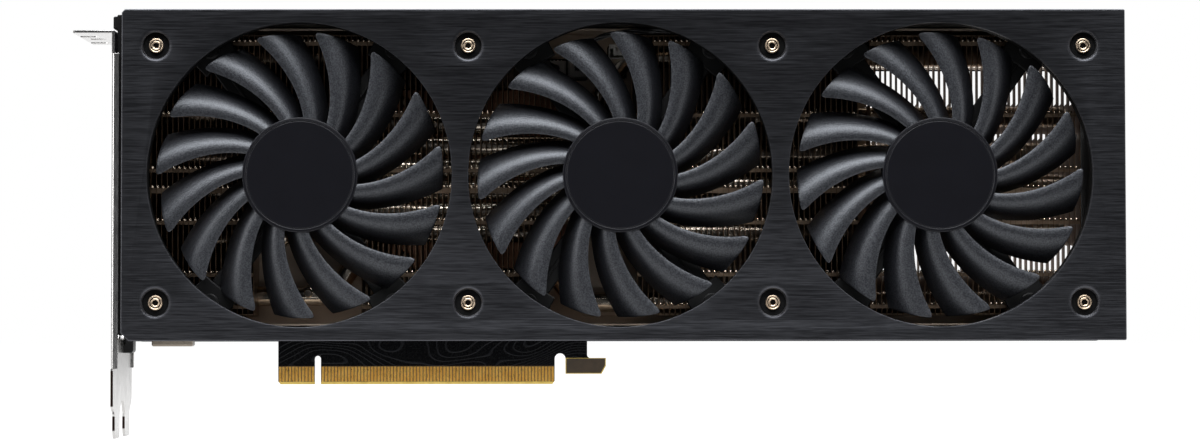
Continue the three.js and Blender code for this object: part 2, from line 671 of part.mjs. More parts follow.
function retentionSpring() {
  const y0 = BOARD_BACK + GAP;
  const y1 = BACKPLATE.y0 - GAP;
  const reach = Math.SQRT2 * SPRING_SCREW_OFF + 4;
  const armW = 9;
  const arms = [Math.PI / 4, -Math.PI / 4].map((a) => {
    const g = new THREE.BoxGeometry(2 * reach, y1 - y0, armW).rotateY(a);
    return solid(g.translate(GPU.x, (y0 + y1) / 2, GPU.z));
  });
  const holes = [];
  for (const sx of [-1, 1]) {
    for (const sz of [-1, 1]) {
      holes.push(barY(GPU.x + sx * SPRING_SCREW_OFF, GPU.z + sz * SPRING_SCREW_OFF, 1.7, y0 - 1, y1 + 1, 8));
    }
  }
  return cut(join(arms), holes);
}

function springScrew(x, z) {
  const headBack = 3.9;
  const headFront = BACKPLATE.y0 + 0.1;
  return join([
    barY(x, z, 3.0, headFront, headBack, 12),
    barY(x, z, SHAFT_R, COLD.y0 + 0.8, headFront + 0.5, 8),
  ]);
}

// ---- assembly ----
addPart('front_plate', toGeometry(frontPlate()), 'brushedBlack');
SCREW_Z.forEach((z, row) => {
  SCREW_X.forEach((x, col) => {
    const screw = addPart(`plate_screw_${row * SCREW_X.length + col + 1}`, toGeometry(plateScrew()), 'screwSteel');
    screw.position.set(x, 0, z);
  });
});
addPart('shroud', toGeometry(shroudDeck()), 'blackPlastic');
addPart('shroud_top_rail', toGeometry(shroudTopRail()), 'blackPlastic');
addPart('shroud_bottom_rail', toGeometry(shroudBottomRail()), 'blackPlastic');
addPart('shroud_end_cap', toGeometry(shroudEndCap()), 'blackPlastic');
FAN_X.forEach((_, i) => addFan(i));
LEAD_ROUTES.forEach((route, i) => {
  addPart(`fan_cable_${i + 1}`, toGeometry(fanLead(route)), 'cableBlack');
  addPart(`fan_plug_${i + 1}`, toGeometry(fanPlug(PLUG_X[i])), 'whiteNylon');
});
addPart('fin_stack_main', toGeometry(finStackMain()), 'finMetal');
addPart('fin_stack_tail', toGeometry(finStackTail()), 'finMetal');
PIPES.forEach((p, i) => addPart(`heat_pipe_${i + 1}`, toGeometry(heatPipe(p)), 'pipeMetal'));
addPart('cold_plate', toGeometry(coldPlate()), 'copper');
addPart('mid_plate', toGeometry(midPlate()), 'finMetal');
addPart('tail_frame', toGeometry(tailFrame()), 'finMetal');
addPart('circuit_board', toGeometry(circuitBoard()), 'board');
addPart('gpu_package', toGeometry(gpuPackage()), 'chip');
POWER_X.forEach((x, i) => addPart(`power_connector_${i + 1}`, toGeometry(powerConnector(x)), 'blackPlastic'));
PORT_Z.forEach((z, i) => {
  const isHdmi = i === PORT_Z.length - 1;
  const name = isHdmi ? 'hdmi_port' : `display_port_${i + 1}`;
  addPart(name, toGeometry(displaySocket(z, isHdmi ? 7.6 : 8.3)), 'steel');
});
addPart('io_bracket', toGeometry(ioBracket()), 'steel');
addPart('backplate', toGeometry(backplate()), 'darkAluminium');
addPart('retention_spring', toGeometry(retentionSpring()), 'steel');
[[-1, -1], [1, -1], [-1, 1], [1, 1]].forEach(([sx, sz], i) => {
  const x = GPU.x + sx * SPRING_SCREW_OFF;
  const z = GPU.z + sz * SPRING_SCREW_OFF;
  addPart(`spring_screw_${i + 1}`, toGeometry(springScrew(x, z)), 'screwSteel');
});

export default card;
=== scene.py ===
"""Looks for a graphics card with three fans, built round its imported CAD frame.

Lengths are millimetres until a mesh is made, in the frame of the CAD model: +X runs along
the card away from the bracket, +Y from the fan side to the back, +Z up from the edge
connector. Angles in the plane of the fans are degrees from +X towards +Z.
"""
import json
import math
import random

import bmesh
import bpy
from mathutils import Matrix, Vector
from mathutils.geometry import tessellate_polygon


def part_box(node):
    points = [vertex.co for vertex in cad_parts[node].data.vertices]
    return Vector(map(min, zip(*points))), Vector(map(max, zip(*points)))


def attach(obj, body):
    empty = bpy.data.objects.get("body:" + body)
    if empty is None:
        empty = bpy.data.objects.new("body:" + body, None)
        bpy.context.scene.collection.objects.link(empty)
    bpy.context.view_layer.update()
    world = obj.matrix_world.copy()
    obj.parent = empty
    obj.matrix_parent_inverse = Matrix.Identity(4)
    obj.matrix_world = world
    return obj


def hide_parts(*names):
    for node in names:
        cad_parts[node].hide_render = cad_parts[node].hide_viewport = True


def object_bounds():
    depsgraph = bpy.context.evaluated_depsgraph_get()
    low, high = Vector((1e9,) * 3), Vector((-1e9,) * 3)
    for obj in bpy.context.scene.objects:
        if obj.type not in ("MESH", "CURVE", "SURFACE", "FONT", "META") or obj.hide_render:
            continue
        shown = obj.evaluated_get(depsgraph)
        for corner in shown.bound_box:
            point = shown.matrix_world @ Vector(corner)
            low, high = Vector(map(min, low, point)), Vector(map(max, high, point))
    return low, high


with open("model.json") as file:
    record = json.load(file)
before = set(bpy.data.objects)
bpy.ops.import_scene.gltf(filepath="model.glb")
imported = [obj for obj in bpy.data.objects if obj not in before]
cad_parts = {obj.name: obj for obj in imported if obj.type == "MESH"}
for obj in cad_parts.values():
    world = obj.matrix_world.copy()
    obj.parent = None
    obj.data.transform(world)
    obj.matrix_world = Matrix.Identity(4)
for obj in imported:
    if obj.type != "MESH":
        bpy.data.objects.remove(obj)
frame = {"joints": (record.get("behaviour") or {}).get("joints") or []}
cad_low, cad_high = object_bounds()

MM = 0.001
CARD = "card"


def node_box(name):
    """Lowest and highest corner of a CAD node, in millimetres."""
    low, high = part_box(name)
    return low / MM, high / MM


# ---- places that come from the frame ----
PLATE_LOW, PLATE_HIGH = node_box("front_plate")
FAN_CENTRES = [Vector(j["pos_m"]) / MM for j in frame["joints"]]
FAN_X = [c.x for c in FAN_CENTRES]
FAN_Z = FAN_CENTRES[0].z
ROTOR_BODIES = [j["child"] for j in frame["joints"]]
SCREW_BOXES = [node_box(f"plate_screw_{i}") for i in range(1, 9)]
BOARD_LOW, BOARD_HIGH = node_box("circuit_board")
BRACKET_LOW, BRACKET_HIGH = node_box("io_bracket")

# ---- sizes that the frame's boxes don't give, as in the CAD model ----
OPENING_R = 44.8
DUCT_R = 45.0
FAN_PHASES = [12.6, 22.9, 3.3]
BLADES = 15
WINDOW = {"x0": 137.2, "x1": 201.2, "z0": 31.5, "z1": 95.8}
CHIP_X = 20.0
CHIP_Z = FAN_Z
SPRING_OFF = 23.5
COLD_HOLE = {"x0": -8.4, "x1": 48.4, "z0": 34.6, "z1": 89.9}


# ======================================================================
# shapes
# ======================================================================
class Shape:
    """Corners and faces, in millimetres, that grow as solids are added."""

    def __init__(self):
        self.points = []
        self.faces = []

    def add(self, points, faces):
        base = len(self.points)
        self.points.extend(Vector(p) for p in points)
        self.faces.extend([base + i for i in face] for face in faces)
        return self

    def join(self, other, place=None):
        points = other.points if place is None else [place @ p for p in other.points]
        return self.add(points, other.faces)


def merged(shapes):
    whole = Shape()
    for shape in shapes:
        whole.join(shape)
    return whole


def moved(shape, x=0.0, y=0.0, z=0.0):
    return Shape().join(shape, Matrix.Translation((x, y, z)))


def circle(a, b, r, sides=64):
    turns = [2 * math.pi * i / sides for i in range(sides)]
    return [Vector((a + r * math.cos(t), b + r * math.sin(t))) for t in turns]


def rounded(corners, steps=5):
    """A closed outline from (a, b, radius) corners, each rounded by an arc."""
    points = []
    count = len(corners)
    for i, (a, b, r) in enumerate(corners):
        here = Vector((a, b))
        if r <= 0:
            points.append(here)
            continue
        before = (Vector(corners[i - 1][:2]) - here).normalized()
        after = (Vector(corners[(i + 1) % count][:2]) - here).normalized()
        half = before.angle(after) / 2
        centre = here + (before + after).normalized() * (r / math.sin(half))
        start = here + before * (r / math.tan(half)) - centre
        end = here + after * (r / math.tan(half)) - centre
        sweep = start.angle_signed(end)
        for k in range(steps + 1):
            turn = Matrix.Rotation(-sweep * k / steps, 2)
            points.append(centre + turn @ start)
    return points


def rectangle(a0, a1, b0, b1, r=0.0, steps=5):
    return rounded([(a0, b0, r), (a1, b0, r), (a1, b1, r), (a0, b1, r)], steps)


def sharp_outline(*corners):
    return [Vector(corner) for corner in corners]


def front_face(low, high, r=0.0):
    """The outline of a box as seen from the front."""
    return rectangle(low.x, high.x, low.z, high.z, r)


def middle(low, high):
    """The middle of a box as seen from the front."""
    return (low.x + high.x) / 2, (low.z + high.z) / 2


def area(loop):
    return sum(p.x * q.y - q.x * p.y for p, q in zip(loop, loop[1:] + loop[:1])) / 2


def directed(loop, anticlockwise):
    return list(loop) if (area(loop) > 0) == anticlockwise else list(reversed(loop))


def inset(loop, distance):
    """The loop moved sideways, to the left of its direction of travel."""
    result = []
    count = len(loop)
    for i, p in enumerate(loop):
        before = (p - loop[i - 1]).normalized()
        after = (loop[(i + 1) % count] - p).normalized()
        left = Vector((-before.y - after.y, before.x + after.x))
        result.append(p + left * (distance / (1 + before.dot(after))))
    return result


PLANES = {
    "XZ": lambda a, b, t: (a, t, b),
    "YZ": lambda a, b, t: (t, a, b),
    "XY": lambda a, b, t: (a, b, t),
}


def slab(plane, outer, holes, near, far, chamfer=0.0):
    """A flat solid with holes, from near to far across its plane.

    A hole is an outline, or an outline with its own edge: a list of (inset, level) pairs.
    """
    place = PLANES[plane]
    plain = [(0.0, near), (0.0, far)]
    if chamfer:
        step = math.copysign(chamfer, far - near)
        plain = [(chamfer, near), (0.0, near + step), (0.0, far - step), (chamfer, far)]
    rims = [(directed(outer, True), plain)]
    for hole in holes:
        loop, edge = hole if isinstance(hole, tuple) else (hole, plain)
        rims.append((directed(loop, False), edge))
    shape = Shape()
    first_caps, last_caps = [], []
    for loop, edge in rims:
        base = len(shape.points)
        count = len(loop)
        rings = [inset(loop, distance) if distance else loop for distance, _ in edge]
        for ring, (_, level) in zip(rings, edge):
            shape.points.extend(Vector(place(p.x, p.y, level)) for p in ring)
        for k in range(len(edge) - 1):
            for i in range(count):
                j = (i + 1) % count
                low, high = base + k * count, base + (k + 1) * count
                shape.faces.append([low + i, low + j, high + j, high + i])
        first_caps.append((rings[0], base))
        last_caps.append((rings[-1], base + (len(edge) - 1) * count))
    for caps in (first_caps, last_caps):
        flat = [[Vector((p.x, p.y, 0.0)) for p in ring] for ring, _ in caps]
        index = [base + i for ring, base in caps for i in range(len(ring))]
        for triangle in tessellate_polygon(flat):
            shape.faces.append([index[i] for i in triangle])
    return shape


def block(x0, x1, y0, y1, z0, z1, chamfer=0.15):
    return slab("XZ", rectangle(x0, x1, z0, z1), [], y0, y1, chamfer)


def flat_part(x, z, width, height, near, far, r=0.0, chamfer=0.0):
    """A flat rectangular solid with its middle at (x, z)."""
    w, h = width / 2, height / 2
    return slab("XZ", rectangle(x - w, x + w, z - h, z + h, r), [], near, far, chamfer)


def loft(rings, capped=True, closed=False):
    """A skin through rings of the same number of corners."""
    shape = Shape()
    count = len(rings[0])
    for ring in rings:
        shape.points.extend(Vector(p) for p in ring)
    pairs = len(rings) if closed else len(rings) - 1
    for k in range(pairs):
        low, high = k * count, ((k + 1) % len(rings)) * count
        for i in range(count):
            j = (i + 1) % count
            shape.faces.append([low + i, low + j, high + j, high + i])
    if capped and not closed:
        shape.faces.append(list(range(count)))
        shape.faces.append([len(shape.points) - count + i for i in range(count)])
    return shape


def turned(profile, sides=48, x=0.0, z=0.0):
    """A solid of revolution about Y from (radius, y) pairs.

    The pairs start and end on the axis, or close on themselves.
    """
    closed = profile[0][0] > 0
    rings = [[Vector((p.x, y, p.y)) for p in circle(x, z, max(r, 1e-4), sides)] for r, y in profile]
    return loft(rings, capped=not closed, closed=closed)


def tube(path, radius, sides=16, round_ends=False):
    """A round bar along a path of points."""
    path = [Vector(p) for p in path]
    count = len(path)
    tangents = [(path[min(i + 1, count - 1)] - path[max(i - 1, 0)]).normalized() for i in range(count)]
    normal = tangents[0].orthogonal().normalized()
    stations = [(p, t, radius) for p, t in zip(path, tangents)]
    if round_ends:
        turns = [math.radians(a) for a in (22, 45, 65, 82)]
        for a in turns:
            r, step = radius * math.cos(a), radius * math.sin(a)
            stations.insert(0, (path[0] - tangents[0] * step, tangents[0], r))
            stations.append((path[-1] + tangents[-1] * step, tangents[-1], r))
    rings = []
    for point, tangent, r in stations:
        normal = (normal - tangent * normal.dot(tangent)).normalized()
        side = tangent.cross(normal)
        turns = [2 * math.pi * i / sides for i in range(sides)]
        rings.append([point + (normal * math.cos(t) + side * math.sin(t)) * r for t in turns])
    return loft(rings)


def smooth_path(points, steps=8):
    """Points along a Catmull-Rom curve through the given ones."""
    points = [Vector(p) for p in points]
    ends = [points[0] * 2 - points[1]] + points + [points[-1] * 2 - points[-2]]
    path = []
    for a, b, c, d in zip(ends, ends[1:], ends[2:], ends[3:]):
        for k in range(steps):
            t = k / steps
            square = (2 * a - 5 * b + 4 * c - d) * t**2
            cube = (3 * b - a - 3 * c + d) * t**3
            path.append(0.5 * (2 * b + (c - a) * t + square + cube))
    return path + [points[-1]]


def bead(x, y, z, rx, ry, rz):
    """A small rounded lump."""
    profile = [(0.0, -1.0), (0.7, -0.7), (1.0, 0.0), (0.7, 0.7), (0.0, 1.0)]
    place = Matrix.Translation((x, y, z)) @ Matrix.Diagonal((rx, ry, rz, 1.0))
    return Shape().join(turned(profile, 8), place)


def piece(name, shape, material, body=CARD, stands_for=(), sharp=33):
    """Makes a Blender object in metres from a shape and ties it to its CAD body."""
    mesh = bpy.data.meshes.new(name)
    mesh.from_pydata([tuple(p * MM) for p in shape.points], [], shape.faces)
    work = bmesh.new()
    work.from_mesh(mesh)
    bmesh.ops.recalc_face_normals(work, faces=work.faces)
    work.to_mesh(mesh)
    work.free()
    mesh.polygons.foreach_set("use_smooth", [True] * len(mesh.polygons))
    mesh.set_sharp_from_angle(angle=math.radians(sharp))
    mesh.materials.append(material)
    made = bpy.data.objects.new(name, mesh)
    bpy.context.scene.collection.objects.link(made)
    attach(made, body)
    if stands_for:
        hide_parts(*stands_for)
    return made


# ======================================================================
# materials
# ======================================================================
class Finish:
    """A procedural material: constants on the shader, texture from nodes."""

    def __init__(self, name, **sockets):
        self.material = bpy.data.materials.new(name)
        self.material.use_nodes = True
        self.tree = self.material.node_tree
        self.shader = self.tree.nodes["Principled BSDF"]
        for socket, value in sockets.items():
            self.shader.inputs[socket.replace("_", " ")].default_value = value
        self.coordinates = self.tree.nodes.new("ShaderNodeTexCoord").outputs["Object"]

    def node(self, kind, inputs=None, **settings):
        made = self.tree.nodes.new(kind)
        for key, value in settings.items():
            setattr(made, key, value)
        for socket, value in (inputs or {}).items():
            if isinstance(value, bpy.types.NodeSocket):
                self.tree.links.new(value, made.inputs[socket])
            else:
                made.inputs[socket].default_value = value
        return made

    def noise(self, size, stretch=(1.0, 1.0, 1.0), detail=3.0):
        """Noise with features of about size millimetres, longer by stretch along each axis."""
        scale = [1.0 / (size * MM * s) for s in stretch]
        mapping = self.node("ShaderNodeMapping", {"Vector": self.coordinates, "Scale": scale})
        return self.node(
            "ShaderNodeTexNoise", {"Vector": mapping.outputs["Vector"], "Scale": 1.0, "Detail": detail}
        ).outputs["Fac"]

    def ramp(self, value, low, high, start=0.3, end=0.7):
        """Maps a value between two colours."""
        ramp = self.node("ShaderNodeValToRGB", {"Fac": value})
        first, second = ramp.color_ramp.elements
        first.position, second.position = start, end
        first.color, second.color = (*low, 1.0), (*high, 1.0)
        return ramp.outputs["Color"]

    def span(self, value, low, high, start=0.3, end=0.7):
        """Maps a value between two numbers."""
        return self.node(
            "ShaderNodeMapRange",
            {"Value": value, "From Min": start, "From Max": end, "To Min": low, "To Max": high},
        ).outputs["Result"]

    def mix(self, kind, a, b, share=1.0):
        mix = self.node("ShaderNodeMix", data_type="RGBA", blend_type=kind)
        mix.inputs[0].default_value = share
        for socket, value in ((mix.inputs[6], a), (mix.inputs[7], b)):
            self.tree.links.new(value, socket)
        return mix.outputs[2]

    def math(self, kind, a, b=0.0):
        return self.node("ShaderNodeMath", {0: a, 1: b}, operation=kind).outputs["Value"]

    def bump(self, height, strength, depth):
        """A surface relief, depth in millimetres."""
        inputs = {"Height": height, "Strength": strength, "Distance": depth * MM}
        return self.node("ShaderNodeBump", inputs).outputs["Normal"]

    def painted_edge_highlight(self, colour, highlight_colour, amount, radius=0.35):
        """Paints a highlight: lightens a colour at the outer edges of the shape, as thin rims catching the
        light.
        """
        rounded_normal = self.node("ShaderNodeBevel", {"Radius": radius * MM}, samples=4).outputs["Normal"]
        normal = self.node("ShaderNodeNewGeometry").outputs["Normal"]
        same = self.node("ShaderNodeVectorMath", {0: rounded_normal, 1: normal}, operation="DOT_PRODUCT")
        edge = self.span(same.outputs["Value"], amount, 0.0, 0.82, 0.99)
        mix = self.node("ShaderNodeMix", data_type="RGBA")
        self.tree.links.new(edge, mix.inputs[0])
        self.tree.links.new(colour, mix.inputs[6])
        mix.inputs[7].default_value = (*highlight_colour, 1.0)
        return mix.outputs[2]

    def use(self, socket, value):
        self.tree.links.new(value, self.shader.inputs[socket])
        return self


def brushed_black():
    made = Finish("brushed_black", Metallic=1.0, Anisotropic=0.55)
    fine = made.noise(0.18, (70, 4, 1), 1.0)
    coarse = made.noise(0.30, (14, 4, 1), 1.0)
    cloud = made.noise(45, (1, 1, 1), 2.0)
    light = made.ramp(coarse, (0.34,) * 3, (0.66,) * 3)
    lines = made.mix("OVERLAY", made.ramp(fine, (0.28,) * 3, (0.72,) * 3), light, 0.7)
    shade = made.ramp(lines, (0.050, 0.051, 0.057), (0.090, 0.092, 0.102), 0.25, 0.75)
    tint = made.ramp(cloud, (0.93,) * 3, (1.0,) * 3)
    # Painted highlight: the cover's outer edges, chamfers and seat rims are lightened into thin bright lines.
    made.use("Base Color", made.painted_edge_highlight(made.mix("MULTIPLY", shade, tint), (0.26, 0.26, 0.27), 0.30))
    made.use("Roughness", made.span(lines, 0.38, 0.48))
    made.use("Normal", made.bump(lines, 0.16, 0.02))
    return made.material


def fan_plastic():
    made = Finish("fan_plastic", Specular_Tint=(0.90, 0.935, 1.0, 1.0))
    grain = made.noise(0.5, detail=2.0)
    speck = made.noise(0.40, detail=1.0)
    patch = made.noise(9.0, detail=2.0)
    made.use("Base Color", made.ramp(patch, (0.0034, 0.0036, 0.0052), (0.0044, 0.0046, 0.0064)))
    made.use("Roughness", made.span(speck, 0.41, 0.54))
    made.use("Specular IOR Level", made.span(speck, 0.50, 1.0, 0.35, 0.65))
    made.use("Normal", made.bump(grain, 0.85, 0.06))
    return made.material


def moulded_black(name="black_plastic", shade=0.0045, roughness=0.42, shine=0.38):
    made = Finish(name, Specular_IOR_Level=shine)
    grain = made.noise(0.3, detail=3.0)
    patch = made.noise(14.0, detail=2.0)
    made.use("Base Color", made.ramp(patch, (shade * 0.85,) * 3, (shade * 1.15, shade * 1.15, shade * 1.25)))
    made.use("Roughness", made.span(patch, roughness - 0.04, roughness + 0.05))
    made.use("Normal", made.bump(grain, 0.25, 0.03))
    return made.material


def badge_black():
    made = Finish("badge_black", Specular_IOR_Level=0.2)
    grain = made.noise(0.2, detail=2.0)
    shade = made.ramp(made.noise(6.0), (0.0013, 0.0013, 0.0028), (0.0018, 0.0018, 0.0036))
    # Painted highlight: the sharp rims of the hub and badge are lightened into thin light lines.
    made.use("Base Color", made.painted_edge_highlight(shade, (0.10, 0.10, 0.11), 0.7, 0.22))
    made.use("Roughness", made.span(grain, 0.38, 0.48))
    made.use("Normal", made.bump(grain, 0.15, 0.02))
    return made.material


def metal(name, low, high, roughness, streak=(1, 1, 1), grain=0.5, relief=0.1, patch_size=8.0, metallic=1.0):
    """A bare or plated metal with soft patches and a fine grain."""
    made = Finish(name, Metallic=metallic)
    patch = made.noise(patch_size, detail=3.0)
    fine = made.noise(grain, streak, 2.0)
    made.use("Base Color", made.ramp(patch, low, high))
    made.use("Roughness", made.span(fine, roughness[0], roughness[1]))
    made.use("Normal", made.bump(fine, relief, 0.02))
    return made.material


def solder_mask():
    """Gloss black lacquer over fine curving traces."""
    made = Finish("solder_mask", Specular_IOR_Level=0.15)
    flow = made.noise(15.0, (1.8, 1, 1), 0.5)
    bands = made.math("PINGPONG", made.math("MULTIPLY", flow, 30.0), 0.5)
    line = made.span(bands, 0.0, 1.0, 0.38, 0.46)
    dust = made.noise(0.5, detail=2.0)
    made.use("Base Color", made.ramp(line, (0.0007, 0.0008, 0.0014), (0.0100, 0.0105, 0.0125), 0.0, 1.0))
    made.use("Roughness", made.span(dust, 0.2, 0.3))
    made.use("Normal", made.bump(line, 0.5, 0.04))
    return made.material


def gold_plate():
    made = Finish("gold_contacts", Metallic=1.0)
    patch = made.noise(3.0, detail=3.0)
    wipe = made.noise(0.12, (1, 1, 14), 2.0)
    made.use("Base Color", made.ramp(patch, (0.86, 0.45, 0.085), (0.98, 0.59, 0.14)))
    made.use("Roughness", made.span(wipe, 0.24, 0.38))
    made.use("Normal", made.bump(wipe, 0.08, 0.01))
    return made.material


def plain(name, low, high, roughness, size=2.0, relief=0.15, **sockets):
    """A non-metal with slight colour changes and a fine texture."""
    made = Finish(name, **sockets)
    made.use("Base Color", made.ramp(made.noise(size), low, high))
    grain = made.noise(size * 0.12, detail=2.0)
    made.use("Roughness", made.span(grain, roughness - 0.05, roughness + 0.06))
    made.use("Normal", made.bump(grain, relief, 0.02))
    return made.material


BRUSHED = brushed_black()
FAN_PLASTIC = fan_plastic()
BLACK_PLASTIC = moulded_black()
SOCKET_PLASTIC = moulded_black("socket_plastic", 0.004, 0.38)
MATT_PLASTIC = moulded_black("matt_black", 0.003, 0.62, 0.12)
BADGE = badge_black()
SCREW_STEEL = metal(
    "screw_steel", (0.50, 0.38, 0.27), (0.66, 0.53, 0.40), (0.26, 0.38), grain=0.15, relief=0.04
)
# Dark screw heads on the back cover; the same metal is painted shade in the cover screws' sockets and
# grooves.
DARK_SCREW = metal("dark_screw", (0.014, 0.012, 0.010), (0.03, 0.026, 0.022), (0.3, 0.42), grain=0.15)
STEEL = metal("steel", (0.50, 0.49, 0.47), (0.62, 0.61, 0.59), (0.24, 0.36), (1, 1, 6), 0.3)
SHELL_STEEL = metal("shell_steel", (0.21, 0.18, 0.145), (0.29, 0.255, 0.215), (0.26, 0.40), (6, 1, 1), 0.3)
COPPER = metal("copper", (0.60, 0.30, 0.18), (0.74, 0.40, 0.26), (0.26, 0.40), (1, 1, 8), 0.25)
FIN_METAL = metal("fin_metal", (0.20, 0.125, 0.075), (0.32, 0.21, 0.135), (0.30, 0.44), (1, 1, 10), 0.3, 0.2)
BAND_METAL = metal("band_metal", (0.36, 0.25, 0.17), (0.52, 0.39, 0.28), (0.3, 0.42), (10, 1, 1), 0.3)
# Light plated colour for the tab hooks, much lighter than the fin metal: a painted highlight for the glints
# along each tab row.
TAB_METAL = metal(
    "tab_metal", (0.72, 0.57, 0.42), (0.94, 0.82, 0.66), (0.18, 0.3), grain=0.3, relief=0.1,
    patch_size=3.0
)
PLATE_METAL = metal(
    "plate_metal", (0.53, 0.43, 0.34), (0.64, 0.53, 0.43), (0.40, 0.56), (8, 1, 1), 0.3, 0.15, 18.0, 0.5
)
PIPE_METAL = metal("pipe_metal", (0.66, 0.58, 0.48), (0.78, 0.70, 0.60), (0.14, 0.26), (10, 1, 1), 0.3)
BRACKET_STEEL = metal(
    "bracket_steel", (0.47, 0.46, 0.45), (0.57, 0.56, 0.55), (0.20, 0.30), (1, 1, 12), 0.3, 0.05
)
# Painted shade: near-black metal for strips laid on the bracket's cut edges, so those edges read dark.
EDGE_SHADE_PAINT = metal("painted_edge_shade", (0.010, 0.006, 0.005), (0.024, 0.014, 0.011), (0.4, 0.6), grain=0.2)
BACK_ALUMINIUM = metal(
    "dark_aluminium", (0.030, 0.031, 0.034), (0.038, 0.039, 0.043), (0.40, 0.50), grain=0.18, relief=0.3
)
MASK = solder_mask()
GOLD = gold_plate()
LAMINATE = plain("laminate", (0.66, 0.46, 0.08), (0.82, 0.60, 0.13), 0.6)
BARE_BOARD = plain("bare_board", (0.044, 0.029, 0.015), (0.064, 0.042, 0.022), 0.5)
TAB_LAMINATE = plain("tab_laminate", (0.13, 0.065, 0.018), (0.19, 0.10, 0.028), 0.45)
WHITE_NYLON = plain("white_nylon", (0.78, 0.76, 0.72), (0.88, 0.86, 0.82), 0.5)
WIRE = plain("cable_black", (0.010, 0.010, 0.011), (0.016, 0.016, 0.017), 0.42)
CHIP = plain("chip_epoxy", (0.012, 0.012, 0.013), (0.018, 0.018, 0.020), 0.5)
SILICON = plain("silicon", (0.05, 0.06, 0.08), (0.08, 0.09, 0.11), 0.15, relief=0.02)
FERRITE = plain("ferrite", (0.035, 0.035, 0.036), (0.06, 0.06, 0.062), 0.55, size=0.8)


# ======================================================================
# cover and its screws
# ======================================================================
def cover():
    """Flat metal cover with chamfered openings and a dished seat round each screw."""
    y0, y1 = PLATE_LOW.y, PLATE_HIGH.y
    x0, x1, z0, z1 = PLATE_LOW.x, PLATE_HIGH.x, PLATE_LOW.z, PLATE_HIGH.z
    low_cut, top_cut, corner = 2.3, 1.0, 0.5
    outline = rounded([
        (x0 + low_cut, z0, corner), (x1, z0, corner), (x1, z1, corner),
        (x0 + top_cut, z1, corner), (x0, z1 - top_cut, corner), (x0, z0 + low_cut, corner),
    ])
    holes = [circle(x, FAN_Z, OPENING_R, 200) for x in FAN_X]
    lip = [(0.32, y0), (0.10, y0 + 0.08), (0.0, y0 + 0.3), (0.0, y1 - 0.2), (0.2, y1)]
    edges = [(hole, lip) for hole in holes]
    seat_r = 3.9
    seat = [
        (1.30, y0), (1.05, y0 + 0.02), (0.80, y0 + 0.06), (0.60, y0 + 0.12), (0.46, y0 + 0.17),
        (0.38, y0 + 0.20), (0.10, y0 + 0.62), (0.0, y0 + 0.80), (0.0, y1),
    ]
    for low, high in SCREW_BOXES:
        centre = (low + high) / 2
        edges.append((circle(centre.x, centre.z, seat_r, 72), seat))
    plate = slab("XZ", outline, edges, y0, y1, 0.28)
    piece("cover", plate, BRUSHED, stands_for=["front_plate"])


def cover_screw(number, low, high):
    """A socket-head screw with a ring groove round its socket."""
    x, z = middle(low, high)
    head, tip = low.y, high.y
    sides = 48
    hex_start = 17.0 * number
    hex_r = 0.98

    def ring(r, y, six_sided=0.0):
        points = []
        for i in range(sides):
            a = 2 * math.pi * i / sides
            fold = math.radians(30) - (a % math.radians(60))
            flat = hex_r * math.cos(math.radians(30)) / math.cos(fold)
            reach = r * (1 - six_sided) + flat * six_sided
            turn = a + math.radians(hex_start)
            points.append((x + reach * math.cos(turn), y, z + reach * math.sin(turn)))
        return points

    rings = [
        ring(0.02, head + 1.3), ring(0.45, head + 1.25), ring(0, head + 1.2, 1.0), ring(0, head + 0.12, 1.0),
        ring(1.02, head + 0.05), ring(1.10, head), ring(1.22, head), ring(1.34, head + 0.08),
        ring(1.40, head + 0.7),
        ring(1.66, head + 0.7), ring(1.72, head + 0.08), ring(1.84, head), ring(1.98, head),
        ring(2.09, head + 0.06),
        ring(2.15, head + 0.2), ring(2.15, head + 1.5), ring(1.1, head + 1.5), ring(1.1, tip - 0.4),
        ring(0.8, tip),
    ]
    piece(
        f"cover_screw_{number}", loft(rings), SCREW_STEEL,
        stands_for=[f"plate_screw_{number}"]
    )
    # Painted shade: dark discs sit on the socket floor and in the ring groove to darken them.
    floor = turned([(0.0, head + 0.55), (0.9, head + 0.55), (0.9, head + 1.1), (0.0, head + 1.1)], 24, x, z)
    groove = turned(
        [(1.39, head + 0.2), (1.69, head + 0.2), (1.69, head + 0.6), (1.39, head + 0.6)], 40, x, z
    )
    piece(f"cover_screw_painted_shade_{number}", merged([floor, groove]), DARK_SCREW)


# ======================================================================
# fans
# ======================================================================
HUB_R = 17.0
HUB_FRONT = -34.2
HUB_BACK = -25.4
BLADE = {
    "root": 16.1, "tip": 42.45, "tip_back": 41.8, "front": -33.45, "back": -25.9, "sweep": 23.8,
    "chord_root": 23.4, "chord_tip": 16.9, "crest": 0.17, "lift": 0.30, "curve": 2.15, "thick": 1.05,
    "corner": 1.5,
}


def blade_middle(u, v):
    """A point on the blade's middle surface: u from root to tip, v from leading to trailing edge."""
    b = BLADE
    span = b["tip"] - b["root"]
    chord_mm = math.radians(b["chord_tip"]) * b["tip"] * max(v, 0.0)
    gap = max(b["corner"] - chord_mm, 0.0)
    corner_drop = b["corner"] - math.sqrt(b["corner"] ** 2 - gap**2)
    reach = b["tip"] + (b["tip_back"] - b["tip"]) * v - corner_drop
    r = b["root"] + (reach - b["root"]) * u
    along = (r - b["root"]) / span
    lead = b["sweep"] * (along - 1)
    chord = b["chord_tip"] + (b["chord_root"] - b["chord_tip"]) * (1 - along) ** 3
    angle = math.radians(lead - chord * v)
    if v < b["crest"]:
        y = b["front"] + b["lift"] * ((b["crest"] - v) / b["crest"]) ** 2
    else:
        y = b["front"] + (b["back"] - b["front"]) * ((v - b["crest"]) / (1 - b["crest"])) ** b["curve"]
    return Vector((r * math.cos(angle), y, r * math.sin(angle)))


